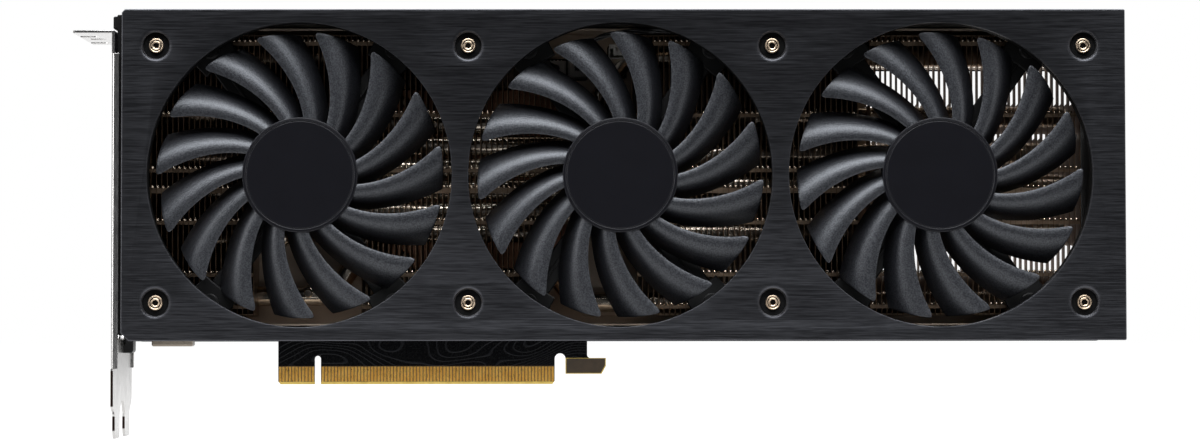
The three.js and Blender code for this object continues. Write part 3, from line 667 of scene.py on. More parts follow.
def blade():
    """One closed blade with a round nose, a rounded tip corner and a thin trailing edge."""
    step = 1e-3
    front_v = [
        1.0, 0.92, 0.84, 0.76, 0.68, 0.60, 0.52, 0.44, 0.37, 0.30, 0.24, 0.19, 0.14, 0.10, 0.06, 0.03,
        0.0
    ]
    nose = [math.radians(a) for a in (60, 30, 0, -30, -60)]
    back_v = [0.0, 0.04, 0.1, 0.2, 0.35, 0.5, 0.65, 0.8, 0.92, 1.0]

    def frame_at(u, v):
        here = blade_middle(u, v)
        along = blade_middle(min(u + step, 1.0), v) - blade_middle(max(u - step, 0.0), v)
        across = blade_middle(u, min(v + step, 1.0)) - blade_middle(u, max(v - step, 0.0))
        normal = along.cross(across).normalized()
        if normal.y > 0:
            normal.negate()
        return here, normal, across.normalized()

    def ring(u, swell):
        points = []
        for v in front_v:
            here, normal, _ = frame_at(u, v)
            points.append(here + normal * (BLADE["thick"] / 2 * (1 - 0.45 * v) * swell))
        here, normal, across = frame_at(u, 0.0)
        for a in nose:
            reach = normal * math.sin(a) - across * math.cos(a)
            points.append(here + reach * (BLADE["thick"] / 2 * swell))
        for v in back_v:
            here, normal, _ = frame_at(u, v)
            points.append(here - normal * (BLADE["thick"] / 2 * (1 - 0.45 * v) * swell))
        return points

    spans = [i / 16 for i in range(16)] + [0.965, 0.985]
    rings = [ring(u, 1.0) for u in spans] + [ring(0.996, 0.85), ring(1.0, 0.5)]
    return loft(rings)


def rotor_hub():
    """Hub cup with a rounded rim, a sunk seat for the badge and a tube for the shaft."""
    floor = HUB_FRONT + 1.5
    seat_r, seat = 15.98, HUB_FRONT + 0.65
    inner = HUB_R - 1.3
    return turned([
        (0.0, seat), (seat_r - 0.05, seat), (seat_r, seat - 0.05), (seat_r, HUB_FRONT + 0.12),
        (seat_r + 0.12, HUB_FRONT), (HUB_R - 0.42, HUB_FRONT), (HUB_R - 0.12, HUB_FRONT + 0.12),
        (HUB_R, HUB_FRONT + 0.42), (HUB_R, HUB_BACK - 0.2), (HUB_R - 0.2, HUB_BACK),
        (inner + 0.2, HUB_BACK), (inner, HUB_BACK - 0.2), (inner, floor), (2.6, floor),
        (2.6, floor + 1.6), (0.0, floor + 1.6),
    ], 120)


def fan(index):
    number = index + 1
    body = ROTOR_BODIES[index]
    x = FAN_X[index]
    hub = moved(rotor_hub(), x, 0.0, FAN_Z)
    piece(f"fan_hub_{number}", hub, BADGE, body)
    wheel = Shape()
    one = blade()
    for k in range(BLADES):
        turn = math.radians(FAN_PHASES[index] + k * 360 / BLADES)
        wheel.join(one, Matrix.Rotation(-turn, 4, "Y"))
    wheel = moved(wheel, x, 0.0, FAN_Z)
    piece(f"fan_wheel_{number}", wheel, FAN_PLASTIC, body, [f"fan_rotor_{number}"], sharp=40)
    badge_r, front = 15.85, HUB_FRONT + 0.06
    badge = turned([
        (0.0, front), (badge_r - 0.18, front), (badge_r, front + 0.14), (badge_r, front + 0.5),
        (0.0, front + 0.5),
    ], 120, x, FAN_Z)
    piece(f"hub_badge_{number}", badge, BADGE, body, [f"fan_badge_{number}"])
    shaft_low, shaft_high = node_box(f"fan_shaft_{number}")
    shaft = turned([
        (0.0, shaft_low.y), (1.0, shaft_low.y), (1.2, shaft_low.y + 0.2), (1.2, shaft_high.y - 1.2),
        (1.0, shaft_high.y - 1.1), (1.0, shaft_high.y - 0.8), (1.2, shaft_high.y - 0.7),
        (1.2, shaft_high.y - 0.15),
        (1.05, shaft_high.y), (0.0, shaft_high.y),
    ], 32, x, FAN_Z)
    piece(f"motor_shaft_{number}", shaft, STEEL, body, [f"fan_shaft_{number}"])


ARM_ANGLES = [54, 126, 234, 306]
ARM_FRONT = -24.9
ARM_BACK = -23.3
EAR_FRONT = -28.0
EAR_AT = 46.4


def polar(r, degrees):
    a = math.radians(degrees)
    return Vector((r * math.cos(a), r * math.sin(a)))


def carrier_arm(angle):
    """One arm with a stiffening rib, a screw pad under the deck and the boss round its screw."""
    half_root, half_end = 13, 4.6
    arm = [
        polar(15.0, angle - half_root), polar(41.5, angle - half_end),
        polar(41.5, angle + half_end), polar(15.0, angle + half_root),
    ]
    rib = [
        polar(15.0, angle - 1.6), polar(44.0, angle - 0.6), polar(44.0, angle + 0.6),
        polar(15.0, angle + 1.6)
    ]
    pad_turns = [angle - 8 + 16 * k / 10 for k in range(11)]
    pad = [polar(41.0, a) for a in pad_turns] + [polar(48.4, a) for a in reversed(pad_turns)]
    boss = polar(EAR_AT, angle)
    return merged([
        slab("XZ", arm, [], ARM_FRONT, ARM_BACK, 0.35),
        slab("XZ", rib, [], ARM_FRONT - 0.9, ARM_FRONT + 0.2, 0.2),
        slab("XZ", pad, [], ARM_FRONT - 1.6, ARM_BACK, 0.3),
        turned([
            (1.3, ARM_FRONT - 1.2), (2.7, ARM_FRONT - 1.2), (2.7, EAR_FRONT + 0.3), (2.4, EAR_FRONT),
            (1.5, EAR_FRONT), (1.3, EAR_FRONT + 0.2),
        ], 32, boss.x, boss.y),
    ])


def fan_carrier(index):
    """Motor plate, bearing tube and four arms.

    The ribs and pads stand slightly into the space that the blades and the hub sweep.
    """
    number = index + 1
    plate_r = 16.5
    rim = turned([
        (0.0, ARM_FRONT), (plate_r - 0.3, ARM_FRONT), (plate_r, ARM_FRONT + 0.3), (plate_r, ARM_BACK - 0.3),
        (plate_r - 0.3, ARM_BACK), (12.0, ARM_BACK), (11.6, ARM_BACK - 0.3), (4.4, ARM_BACK - 0.3),
        (4.0, ARM_BACK), (1.6, ARM_BACK), (1.6, ARM_BACK - 0.4), (0.0, ARM_BACK - 0.4),
    ], 72)
    bearing = turned([
        (1.6, ARM_FRONT + 0.2), (3.0, ARM_FRONT + 0.2), (3.0, -31.0), (2.8, -31.2), (1.8, -31.2),
        (1.6, -31.0),
    ], 40)
    arms = [carrier_arm(angle) for angle in ARM_ANGLES]
    carrier = moved(merged([rim, bearing, *arms]), FAN_X[index], 0.0, FAN_Z)
    piece(
        f"fan_carrier_{number}", carrier, BLACK_PLASTIC,
        stands_for=[f"fan_frame_{number}"]
    )


def motor_coils(index):
    """Six copper windings with their pole shoes, round a core."""
    number = index + 1
    x = FAN_X[index]
    low, high = node_box(f"fan_stator_{number}")
    coils = []
    poles = 6
    for k in range(poles):
        turn = Matrix.Translation((x, 0, FAN_Z)) @ Matrix.Rotation(
            -math.radians(360 / poles * k + 15), 4, "Y"
        )
        winding = slab("YZ", rectangle(low.y + 0.4, high.y - 0.4, -3.0, 3.0, 1.2), [], 5.6, 11.4, 0.5)
        shoe = slab("YZ", rectangle(low.y + 0.9, high.y - 0.9, -5.4, 5.4, 0.4), [], 11.2, 13.2, 0.3)
        coils.append(Shape().join(winding, turn))
        coils.append(Shape().join(shoe, turn))
    core_front, core_back = low.y + 0.8, high.y - 0.8
    core = turned([(3.3, core_front), (6.2, core_front), (6.2, core_back), (3.3, core_back)], 40, x, FAN_Z)
    piece(
        f"motor_coils_{number}", merged([*coils, core]), COPPER,
        stands_for=[f"fan_stator_{number}"]
    )


# ---- fan leads and plugs ----
LEAD_Y = -22.1
LEAD_TOP_Z = 105.6
PLUG_X = [36.6, 42.8, 49.0]
PLUG_ENTRY = (-8.3, 95.7)


def arm_point(index, degrees, r):
    p = polar(r, degrees)
    return (FAN_X[index] + p.x, LEAD_Y, FAN_Z + p.y)


LEAD_ROUTES = [
    [
        arm_point(0, 54, 9), arm_point(0, 54, 24), arm_point(0, 54, 40), (-2.5, -22.6, 103.2),
        (6, -23.4, LEAD_TOP_Z),
        (20, -23.6, LEAD_TOP_Z), (28, -23.4, 105.0), (33.6, -22.4, 102.0), (36.2, -18.4, 98.2),
        (36.6, -13.5, 95.9), (36.6, *PLUG_ENTRY),
    ],
    [
        arm_point(1, 126, 9), arm_point(1, 126, 24), arm_point(1, 126, 39), (37.2, -21.2, 97.2),
        (41.2, -17.0, 95.9), (42.8, -12.5, 95.7), (42.8, *PLUG_ENTRY),
    ],
    [
        arm_point(2, 126, 9), arm_point(2, 126, 24), arm_point(2, 126, 40), (122, -22.6, 103.4),
        (112, -23.4, LEAD_TOP_Z), (90, -23.6, LEAD_TOP_Z), (68, -23.6, LEAD_TOP_Z), (56, -22.2, 104.0),
        (50.8, -18.0, 99.4), (49.0, -13.0, 96.2), (49.0, *PLUG_ENTRY),
    ],
]


def fan_lead(index):
    """Four wires that lie side by side and twist slowly round each other."""
    path = smooth_path(LEAD_ROUTES[index], 7)
    wire_r, ring_r = 0.36, 0.5
    turn_length = 26.0
    wires = []
    travelled = [0.0]
    for a, b in zip(path, path[1:]):
        travelled.append(travelled[-1] + (b - a).length)
    for k in range(4):
        strand = []
        normal = Vector((0, 1, 0))
        for i, p in enumerate(path):
            tangent = (path[min(i + 1, len(path) - 1)] - path[max(i - 1, 0)]).normalized()
            normal = (normal - tangent * normal.dot(tangent)).normalized()
            side = tangent.cross(normal)
            turn = 2 * math.pi * (travelled[i] / turn_length + k / 4)
            strand.append(p + (normal * math.cos(turn) + side * math.sin(turn)) * ring_r)
        wires.append(tube(strand, wire_r, 8))
    number = index + 1
    piece(f"fan_lead_{number}", merged(wires), WIRE, stands_for=[f"fan_cable_{number}"])
    low, high = node_box(f"fan_plug_{number}")
    housing = slab("XZ", front_face(low, high, 0.3), [], low.y, high.y, 0.25)
    grips = []
    for i in range(4):
        x0, x1 = low.x + 0.5 + 1.1 * i, low.x + 0.95 + 1.1 * i
        grips.append(block(x0, x1, low.y + 0.6, high.y - 1.2, low.z - 0.25, high.z + 0.25, 0.1))
    collar = block(low.x - 0.3, high.x + 0.3, high.y - 2.2, high.y, low.z - 0.3, high.z + 0.3, 0.15)
    piece(
        f"lead_plug_{number}", merged([housing, collar, *grips]), WHITE_NYLON,
        stands_for=[f"fan_plug_{number}"]
    )


# ======================================================================
# shroud
# ======================================================================
SOCKET_BAY = {"x1": -66.8, "y0": -7.6}
POWER_BAY = {"x0": 92.1, "x1": 130.6, "y0": -13.5}
VENT_Y = (-24.0, -8.0)
TOP_VENTS = [(3, 27)]
BOTTOM_VENTS = [(3, 27), (97, 123)]


def shroud():
    deck_low, deck_high = node_box("shroud")
    x0 = -86.5
    ear_z0, ear_z1 = 105.2, deck_high.z - 0.5
    outline = rounded([
        (x0, deck_low.z, 1.5), (deck_high.x, deck_low.z, 2.0), (deck_high.x, deck_high.z, 2.0),
        (x0, deck_high.z, 0.3), (x0, ear_z1, 0.2), (deck_low.x, ear_z1, 0.5), (deck_low.x, ear_z0, 0.5),
        (x0, ear_z0, 0.2),
    ])
    near, far = deck_low.y, deck_high.y
    duct_edge = [(0.55, near), (0.18, near + 0.12), (0.0, near + 0.45), (0.0, far - 0.4), (0.4, far)]
    holes = [(circle(x, FAN_Z, DUCT_R, 160), duct_edge) for x in FAN_X]
    for low, high in SCREW_BOXES:
        holes.append(circle(*middle(low, high), 1.5, 24))
    piece(
        "fan_deck", slab("XZ", outline, holes, near, far, 0.3), MATT_PLASTIC,
        stands_for=["shroud"]
    )
    top_low, top_high = node_box("shroud_top_rail")
    side_rail("top_rail", "shroud_top_rail", top_low.z, top_high.z, TOP_VENTS, True)
    _, bottom_high = node_box("shroud_bottom_rail")
    side_rail("bottom_rail", "shroud_bottom_rail", deck_low.z, bottom_high.z, BOTTOM_VENTS, False)
    end_cap()


def side_rail(name, node, z0, z1, vents, has_power_bay):
    low, high = node_box(node)
    x0, x1 = -85.6, high.x
    y0, board_y, y1 = low.y, -1.085, high.y
    skirt_x = 136.6
    bay = SOCKET_BAY
    corners = [(x0, y0, 0.6), (x1, y0, 0.2), (x1, y1, 0.2), (skirt_x, y1, 0.8), (skirt_x, board_y, 0.3)]
    if has_power_bay:
        p = POWER_BAY
        corners += [
            (p["x1"], board_y, 0.3), (p["x1"], p["y0"], 1.0), (p["x0"], p["y0"], 1.0),
            (p["x0"], board_y, 0.3)
        ]
    corners += [(bay["x1"], board_y, 0.3), (bay["x1"], bay["y0"], 1.0), (x0, bay["y0"], 0.6)]
    holes = [rectangle(a, b, VENT_Y[0], VENT_Y[1], 2.0) for a, b in vents]
    rail = slab("XY", rounded(corners), holes, z0, z1, 0.25)
    if not has_power_bay:
        foot_outline = rounded([
            (-84.4, 9.7, 0.9), (-84.4, 15.2, 0.0), (-86.9, 15.2, 0.0), (-86.9, 12.4, 0.2),
            (-88.6, 12.4, 0.2), (-88.6, 9.7, 0.2),
        ])
        rail.join(slab("XZ", foot_outline, [], -13.4, -8.0, 0.2))
    line_z = z1 - 0.02 if has_power_bay else z0 + 0.02
    for y in (-26.0, -6.6):
        bead_line = tube([(x0 + 22, y, line_z), (x1 - 4, y, line_z)], 0.28, 8, True)
        rail.join(bead_line)
    piece(name, rail, BLACK_PLASTIC, stands_for=[node])


def end_cap():
    low, high = node_box("shroud_end_cap")
    wall = 1.9
    outline = front_face(low, high, 0.6)
    pocket = rectangle(low.x + wall, high.x - 2.35, low.z + 2.35, high.z - 2.35, 0.4)
    front = slab("XZ", outline, [], low.y, low.y + wall, 0.25)
    walls = slab("XZ", outline, [pocket], low.y + wall - 0.3, high.y, 0.25)
    web = (low.x + 1.0, high.x - 1.2, low.y + 1.0, high.y - 6.0)
    webs = [block(*web, z - 0.6, z + 0.6) for z in (38.0, 62.0, 86.0)]
    piece(
        "end_cap", merged([front, walls, *webs]), MATT_PLASTIC,
        stands_for=["shroud_end_cap"]
    )


# ======================================================================
# heatsink
# ======================================================================
FIN = {"pitch": 1.613, "t": 0.22, "front": -20.7, "back": -5.3, "window_back": -15.9, "tail_back": -6.4}
FIN_Z0, FIN_Z1 = 20.9, 104.9
FIN_MAIN_X = (-80.0, 134.4)
FIN_TAIL_X = (136.6, 200.4)
CUTOUTS = [(-47.0, -16.5, 0.0, 43.0), (33.0, 64.0, 88.0, 200.0), (38.0, 66.0, 0.0, 44.0)]
PIPES = [
    {"x0": -62, "left": 98.8, "bend_l": (-25, -9), "mid": 78.75, "bend_r": (49, 65), "right": 98.8},
    {"x0": -66, "left": 82.0, "bend_l": (-42, -28), "mid": 72.15, "bend_r": (66, 80), "right": 80.9},
    {"x0": -66, "left": 69.2, "bend_l": (-56, -44), "mid": 65.55, "bend_r": (80, 92), "right": 69.8},
    {"x0": -66, "left": 58.6, "bend_l": (-56, -44), "mid": 58.95, "bend_r": (80, 92), "right": 60.4},
    {"x0": -66, "left": 44.0, "bend_l": (-42, -28), "mid": 52.35, "bend_r": (62, 76), "right": 45.8},
    {"x0": -60, "left": 26.8, "bend_l": (-27, -11), "mid": 45.75, "bend_r": (34, 50), "right": 24.9},
]
PIPE_R = 3.0
PIPE_Y = -9.2
PIPE_END_X = 196.0


def pipe_height(pipe, x):
    """Height of a pipe's centreline over the card at x."""
    bends = ((pipe["bend_l"], pipe["left"], pipe["mid"]), (pipe["bend_r"], pipe["mid"], pipe["right"]))
    for (a, b), low, high in bends:
        if x < a:
            return low
        if x < b:
            t = (x - a) / (b - a)
            return low + (high - low) * t * t * (3 - 2 * t)
    return pipe["right"]


def heat_pipe(number, pipe):
    xs = [pipe["x0"], *pipe["bend_l"], *pipe["bend_r"], PIPE_END_X - 3.0]
    for a, b in (pipe["bend_l"], pipe["bend_r"]):
        xs += [a + (b - a) * k / 12 for k in range(1, 12)]
    path = [(x, PIPE_Y, pipe_height(pipe, x)) for x in sorted(xs)]
    piece(
        f"pipe_{number}", tube(path, PIPE_R, 28, True), PIPE_METAL,
        stands_for=[f"heat_pipe_{number}"], sharp=60
    )


def fin_range(x):
    """Lowest and highest point of the fin at x."""
    z0, z1 = FIN_Z0, FIN_Z1
    for a, b, low, high in CUTOUTS:
        if a < x < b:
            if low <= FIN_Z0:
                z0 = max(z0, high)
            else:
                z1 = min(z1, low)
    return z0, z1


def fin(x, z0, z1, back_edge):
    """One thin sheet with snipped corners; back_edge lists (y, z) points from bottom to top."""
    snip = 0.6
    front = FIN["front"]
    outline = sharp_outline(
        (front, z1 - snip), (front, z0 + snip), (front + snip, z0), *back_edge, (front + snip, z1)
    )
    return slab("YZ", outline, [], x, x + FIN["t"])


def tail_back_edge():
    """The back of a tail fin: shallow behind the three air slots, deep round the pipes."""
    deep, shallow, slope = FIN["tail_back"], FIN["window_back"], 0.8
    points = [(FIN["back"], FIN_Z0), (FIN["back"], WINDOW["z0"])]
    for z0, z1 in AIR_SLOTS:
        if z0 > WINDOW["z0"]:
            points.append((deep, z0 - slope))
        points += [(shallow, z0), (shallow, z1)]
        if z1 < WINDOW["z1"]:
            points.append((deep, z1 + slope))
    return points + [(FIN["back"], WINDOW["z1"]), (FIN["back"], FIN_Z1)]


AIR_SLOTS = [(34.0, 41.6), (74.0, 75.2), (84.4, WINDOW["z1"])]
HEADER = {"x0": 58.6, "x1": 63.6, "z0": 98.4, "z1": 102.6, "front": -14.5}
TAB_ROWS = [(102.2, 1.2), (80.7, 1.0), (64.2, 1.1), (58.2, 1.6), (48.6, 1.1), (33.0, 1.1), (23.4, 1.0)]


def fin_stack(name, node, x0, x1, is_tail):
    """Thin fins at an even pitch, tied by rows of folded tabs with a small hook each."""
    stack = Shape()
    ties = Shape()
    hooks = Shape()
    back = tail_back_edge()
    jitter = random.Random(11 if is_tail else 7)
    count = int((x1 - x0 - FIN["t"]) / FIN["pitch"]) + 1
    front = FIN["front"]
    for i in range(count):
        x = x0 + i * FIN["pitch"]
        z0, z1 = fin_range(x)
        edge = back if is_tail else [(FIN["back"], z0), (FIN["back"], z1)]
        stack.join(fin(x + jitter.uniform(-0.05, 0.05), z0, z1, edge))
        if i == count - 1:
            continue
        next_z0, next_z1 = fin_range(x + FIN["pitch"])
        for z, height in TAB_ROWS:
            if max(z0, next_z0) + 1 < z < min(z1, next_z1) - 1:
                lean = jitter.uniform(-0.06, 0.06)
                outline = rectangle(x + 0.1, x + FIN["pitch"] - 0.02, z - height / 2, z + height / 2)
                ties.join(slab("XZ", outline, [], front - 0.02 + lean, front + 0.26 + lean))
                hooks.join(bead(x + 0.62, front - 0.05, z + height / 2 + 0.35, 0.42, 0.30, 0.5))
    for z in (FIN_Z0 + 0.15, FIN_Z1 - 0.45):
        for i in range(count - 1):
            x = x0 + i * FIN["pitch"]
            low, high = fin_range(x)
            next_low, next_high = fin_range(x + FIN["pitch"])
            if low <= z <= high and next_low <= z <= next_high:
                strip = rectangle(x + 0.1, x + FIN["pitch"] - 0.05, front + 0.6, FIN["back"])
                ties.join(slab("XY", strip, [], z, z + 0.25))
    piece(name, stack, FIN_METAL, stands_for=[node], sharp=20)
    piece(name + "_tabs", ties, BAND_METAL, sharp=50)
    # The hooks' light colour is a painted highlight.
    piece(name + "_hooks", hooks, TAB_METAL, sharp=50)


POST = (-32.0, 27.6)
LIP = {"front": -20.2, "t": 0.6}


def base_plates():
    """The plated sheet over the board with its post, and the open frame that carries the tail fins."""
    low, high = node_box("mid_plate")
    holes = [
        rectangle(*COLD_HOLE.values(), 1.0),
        rectangle(PLUG_X[0] - 3.2, PLUG_X[2] + 3.2, 92.4, 99.0, 0.8),
        rectangle(HEADER["x0"] - 0.4, HEADER["x1"] + 0.4, 93.0, HEADER["z1"] + 0.4, 0.8),
    ]
    power_x, power_z = 91.6, 95.5
    outline = rounded([
        (low.x, low.z, 2.0), (high.x, low.z, 0.5), (high.x, power_z, 0.5),
        (power_x, power_z, 1.5), (power_x, high.z, 1.0), (low.x, high.z, 2.0),
    ])
    sheet = slab("XZ", outline, holes, low.y, high.y, 0.2)
    embossed = [(-58, 30, 8, 18), (-58, 84, 8, 18), (70, 22.5, 40, 4), (20, 22.5, 40, 4), (-30, 103, 44, 4)]
    for x, z, width, height in embossed:
        sheet.join(flat_part(x, z, width, height, low.y - 0.4, low.y + 0.1, 1.4, 0.3))
    for z in (low.z, high.z - LIP["t"]):
        sheet.join(block(low.x + 3, power_x - 1, LIP["front"], low.y + 0.2, z, z + LIP["t"], 0.12))
    piece("base_plate", sheet, PLATE_METAL, stands_for=["mid_plate"])
    base = low.y
    post = turned([
        (0.0, base - 8.6), (1.0, base - 8.6), (1.25, base - 8.2), (1.5, base - 6.4), (2.0, base - 6.2),
        (2.0, base - 4.4),
        (1.5, base - 4.1), (1.5, base - 2.6), (2.5, base - 2.3), (2.7, base - 0.3), (2.7, base + 0.1),
        (0.0, base + 0.1),
    ], 36, POST[0], POST[1])
    piece("plate_post", post, PIPE_METAL)
    low, high = node_box("tail_frame")
    w = WINDOW
    corner_x = 131.1
    outline = rounded([
        (low.x, low.z, 0.5), (high.x, low.z, 2.0), (high.x, w["z0"], 1.0), (w["x0"], w["z0"], 1.0),
        (w["x0"], w["z1"], 1.0), (high.x, w["z1"], 1.0), (high.x, high.z, 2.0), (corner_x, high.z, 1.0),
        (corner_x, w["z1"] + 0.2, 0.0), (low.x, w["z1"] - 0.1, 0.3),
    ])
    carrier = slab("XZ", outline, [], low.y, high.y, 0.2)
    for z in (low.z, high.z - LIP["t"]):
        carrier.join(block(corner_x + 1, high.x - 3, LIP["front"], low.y + 0.2, z, z + LIP["t"], 0.12))
    piece("tail_carrier", carrier, PLATE_METAL, stands_for=["tail_frame"])


# ======================================================================
# circuit board
# ======================================================================
TAB_HALF = 42.1
KEY = (-31.0, -29.1)
KEY_TOP = 7.7
BEVEL_TOP = 0.9
TAB_TOP = 13.1
HOOK = {"x0": 45.4, "step": 52.0, "x1": 57.7, "z0": 3.1, "z1": 7.9}
HOOK_CUT = (1.3, 2.4)


def arc(a, b, r, first, last, steps=12):
    turns = [math.radians(first + (last - first) * k / steps) for k in range(steps + 1)]
    return [Vector((a + r * math.cos(t), b + r * math.sin(t))) for t in turns]


def hook_corners(x0, x1, z0, z1):
    """The hook's corners: its foot with a slanted cut, then its two upper ones."""
    return sharp_outline((x0, z0), (x1 - HOOK_CUT[0], z0), (x1, z0 + HOOK_CUT[1]), (x1, z1), (x0, z1))


def board_outline():
    x0, x1, z1 = BOARD_LOW.x, BOARD_HIGH.x, BOARD_HIGH.z
    hook = HOOK
    points = sharp_outline((x0, TAB_TOP), (-TAB_HALF, TAB_TOP), (-TAB_HALF, BEVEL_TOP), (KEY[0], BEVEL_TOP))
    points += arc((KEY[0] + KEY[1]) / 2, KEY_TOP, (KEY[1] - KEY[0]) / 2, 180, 0)
    points += sharp_outline((KEY[1], BEVEL_TOP), (TAB_HALF, BEVEL_TOP))
    points += arc((TAB_HALF + hook["x0"]) / 2, KEY_TOP, (hook["x0"] - TAB_HALF) / 2, 180, 0)
    points += hook_corners(hook["x0"], hook["x1"], hook["z0"], hook["z1"])[:-1]
    points += arc(hook["step"] + 1, hook["z1"] + 1, 1.0, -90, -180, 6)
    points += sharp_outline((hook["step"], TAB_TOP), (x1, TAB_TOP), (x1, z1), (x0, z1))
    return points


def spring_places():
    return [(CHIP_X + sx * SPRING_OFF, CHIP_Z + sz * SPRING_OFF) for sz in (-1, 1) for sx in (-1, 1)]


def circuit_board():
    front, back = BOARD_LOW.y, BOARD_HIGH.y
    holes = [circle(x, z, 1.7, 32) for x, z in spring_places()]
    board = slab("XZ", board_outline(), holes, front, back, 0.05)
    piece("board", board, MASK, stands_for=["circuit_board"])
    edge_contacts(front, back)
    edge_bevel(front, back)
    hook_faces(front, back)
    board_parts(front)


def edge_contacts(front, back):
    """Gold contacts at a 1 mm pitch on both faces, with bare laminate between them."""
    pads = Shape()
    gaps = Shape()
    pad_w, pad_top, pad_low = 0.70, 5.35, 0.85
    raise_by = 0.045
    first, count = -41.5, 84
    for side, out in ((front, -1), (back, 1)):
        for i in range(count):
            x = first + i
            if KEY[0] < x < KEY[1]:
                continue
            outline = rectangle(x - pad_w / 2, x + pad_w / 2, pad_low, pad_top, 0.12, 2)
            pads.join(slab("XZ", outline, [], side + out * raise_by, side - out * 0.1, 0.015))
        for a, b in ((-TAB_HALF + 0.06, KEY[0] - 0.06), (KEY[1] + 0.06, TAB_HALF - 0.06)):
            strip = rectangle(a, b, pad_low - 0.1, pad_top + 0.15, 0.1, 2)
            gaps.join(slab("XZ", strip, [], side + out * 0.015, side - out * 0.1))
    piece("edge_contacts", pads, GOLD)
    piece("edge_laminate", gaps, TAB_LAMINATE)


def edge_bevel(front, back):
    """The slanted foot of the edge connector, on both sides of the key."""
    lips = Shape()
    half = (back - front) / 2
    low_y, high_y = front + half * 0.42, back - half * 0.42
    for a, b in ((-TAB_HALF, KEY[0]), (KEY[1], TAB_HALF)):
        foot_a, foot_b = (a + (0.0 if a in KEY else 0.7)), (b - (0.0 if b in KEY else 0.7))
        top = [(a, front, BEVEL_TOP), (b, front, BEVEL_TOP), (b, back, BEVEL_TOP), (a, back, BEVEL_TOP)]
        foot = [(foot_a, low_y, 0.0), (foot_b, low_y, 0.0), (foot_b, high_y, 0.0), (foot_a, high_y, 0.0)]
        lips.join(loft([top, foot]))
    piece("edge_bevel", lips, LAMINATE)


def hook_faces(front, back):
    """Both faces of the retention hook: bare board with a lighter rim."""
    bare, skin = 0.25, 0.02
    rim = hook_corners(HOOK["x0"], HOOK["x1"], HOOK["z0"], HOOK["z1"])
    inner = hook_corners(HOOK["x0"] + bare, HOOK["x1"] - bare, HOOK["z0"] + bare, HOOK["z1"] - bare / 2)
    for name, side, out in (("front", front, -1), ("back", back, 1)):
        piece(
            f"hook_rim_{name}", slab("XZ", rim, [], side + out * skin / 2, side - out * 0.1), LAMINATE,
        )
        piece(
            f"hook_face_{name}", slab("XZ", inner, [], side + out * skin, side - out * 0.1), BARE_BOARD,
        )


def board_parts(front):
    """Memory, coils, capacitors and small parts on the board's front, under the plate."""
    chips, coils, caps, cans = Shape(), Shape(), Shape(), Shape()
    memory = [(-8.5, 62), (-8.5, 46), (-8.5, 78), (48.5, 62), (48.5, 46), (48.5, 80), (12, 33), (28, 33)]
    for x, z in memory:
        chips.join(flat_part(x, z, 12, 14, front - 1.1, front - 0.02, 0.3, 0.12))
    for row, z0 in ((-22.0, 26.0), (64.0, 26.0), (78.0, 26.0)):
        for k in range(6):
            z = z0 + k * 9.6
            coils.join(flat_part(row, z, 6.8, 6.8, front - 2.5, front - 0.1, 0.7, 0.35))
            chips.join(flat_part(row + 6.8, z, 3.6, 5.2, front - 0.9, front - 0.02, 0.2, 0.1))
    for k in range(9):
        x = -58 + k * 19
        z = 20.5 if k % 2 else 104.5
        can = [
            (0.0, front - 2.4), (1.7, front - 2.4), (1.9, front - 2.2), (1.9, front - 0.05),
            (0.0, front - 0.05)
        ]
        cans.join(turned(can, 28, x, z))
    scatter = random.Random(5)
    for _ in range(120):
        x, z = scatter.uniform(-60, 128), scatter.uniform(18, 104)
        w, h = scatter.choice([(1.0, 0.5), (0.5, 1.0), (1.6, 0.8), (0.8, 1.6)])
        caps.join(flat_part(x, z, w, h, front - 0.55, front - 0.01, 0.0, 0.05))
    header_bits(front)
    piece("board_chips", chips, CHIP)
    piece("board_coils", coils, FERRITE)
    piece("board_capacitors", caps, FERRITE)
    piece("board_cans", cans, STEEL)
    chip_and_cold_plate()


def chip_and_cold_plate():
    low, high = node_box("gpu_package")
    substrate = slab("XZ", front_face(low, high, 0.5), [], high.y - 1.2, high.y, 0.08)
    piece("gpu_substrate", substrate, MASK, stands_for=["gpu_package"])
    die = flat_part(CHIP_X, CHIP_Z, 25, 25, low.y, high.y - 1.1, 0.2, 0.06)
    piece("gpu_die", die, SILICON)
    low, high = node_box("cold_plate")
    holes = [circle(x, z, 1.5, 24) for x, z in spring_places()]
    cold_block = slab("XZ", front_face(low, high, 1.2), holes, low.y, high.y, 0.3)
    piece("cold_block", cold_block, COPPER, stands_for=["cold_plate"])


def header_bits(front):
    """A white four-way header beside the fan plugs, with two small cans under it."""
    h = HEADER
    cells = [rectangle(x - 0.5, x + 0.5, h["z0"] + 1.0, h["z1"] - 1.2) for x in (59.4, 60.6, 61.8, 63.0)]
    outline = rectangle(h["x0"], h["x1"], h["z0"], h["z1"], 0.3)
    header = slab("XZ", outline, cells, h["front"], front - 2.0, 0.15)
    header.join(slab("XZ", outline, [], front - 2.1, front, 0.1))
    piece("board_header", header, WHITE_NYLON)
    cans = Shape()
    for x, z in ((60.4, 96.6), (62.9, 96.2)):
        can = [(0.0, front - 8.4), (0.9, front - 8.4), (1.2, front - 8.1), (1.2, front), (0.0, front)]
        cans.join(turned(can, 28, x, z))
    piece("header_cans", cans, SCREW_STEEL)


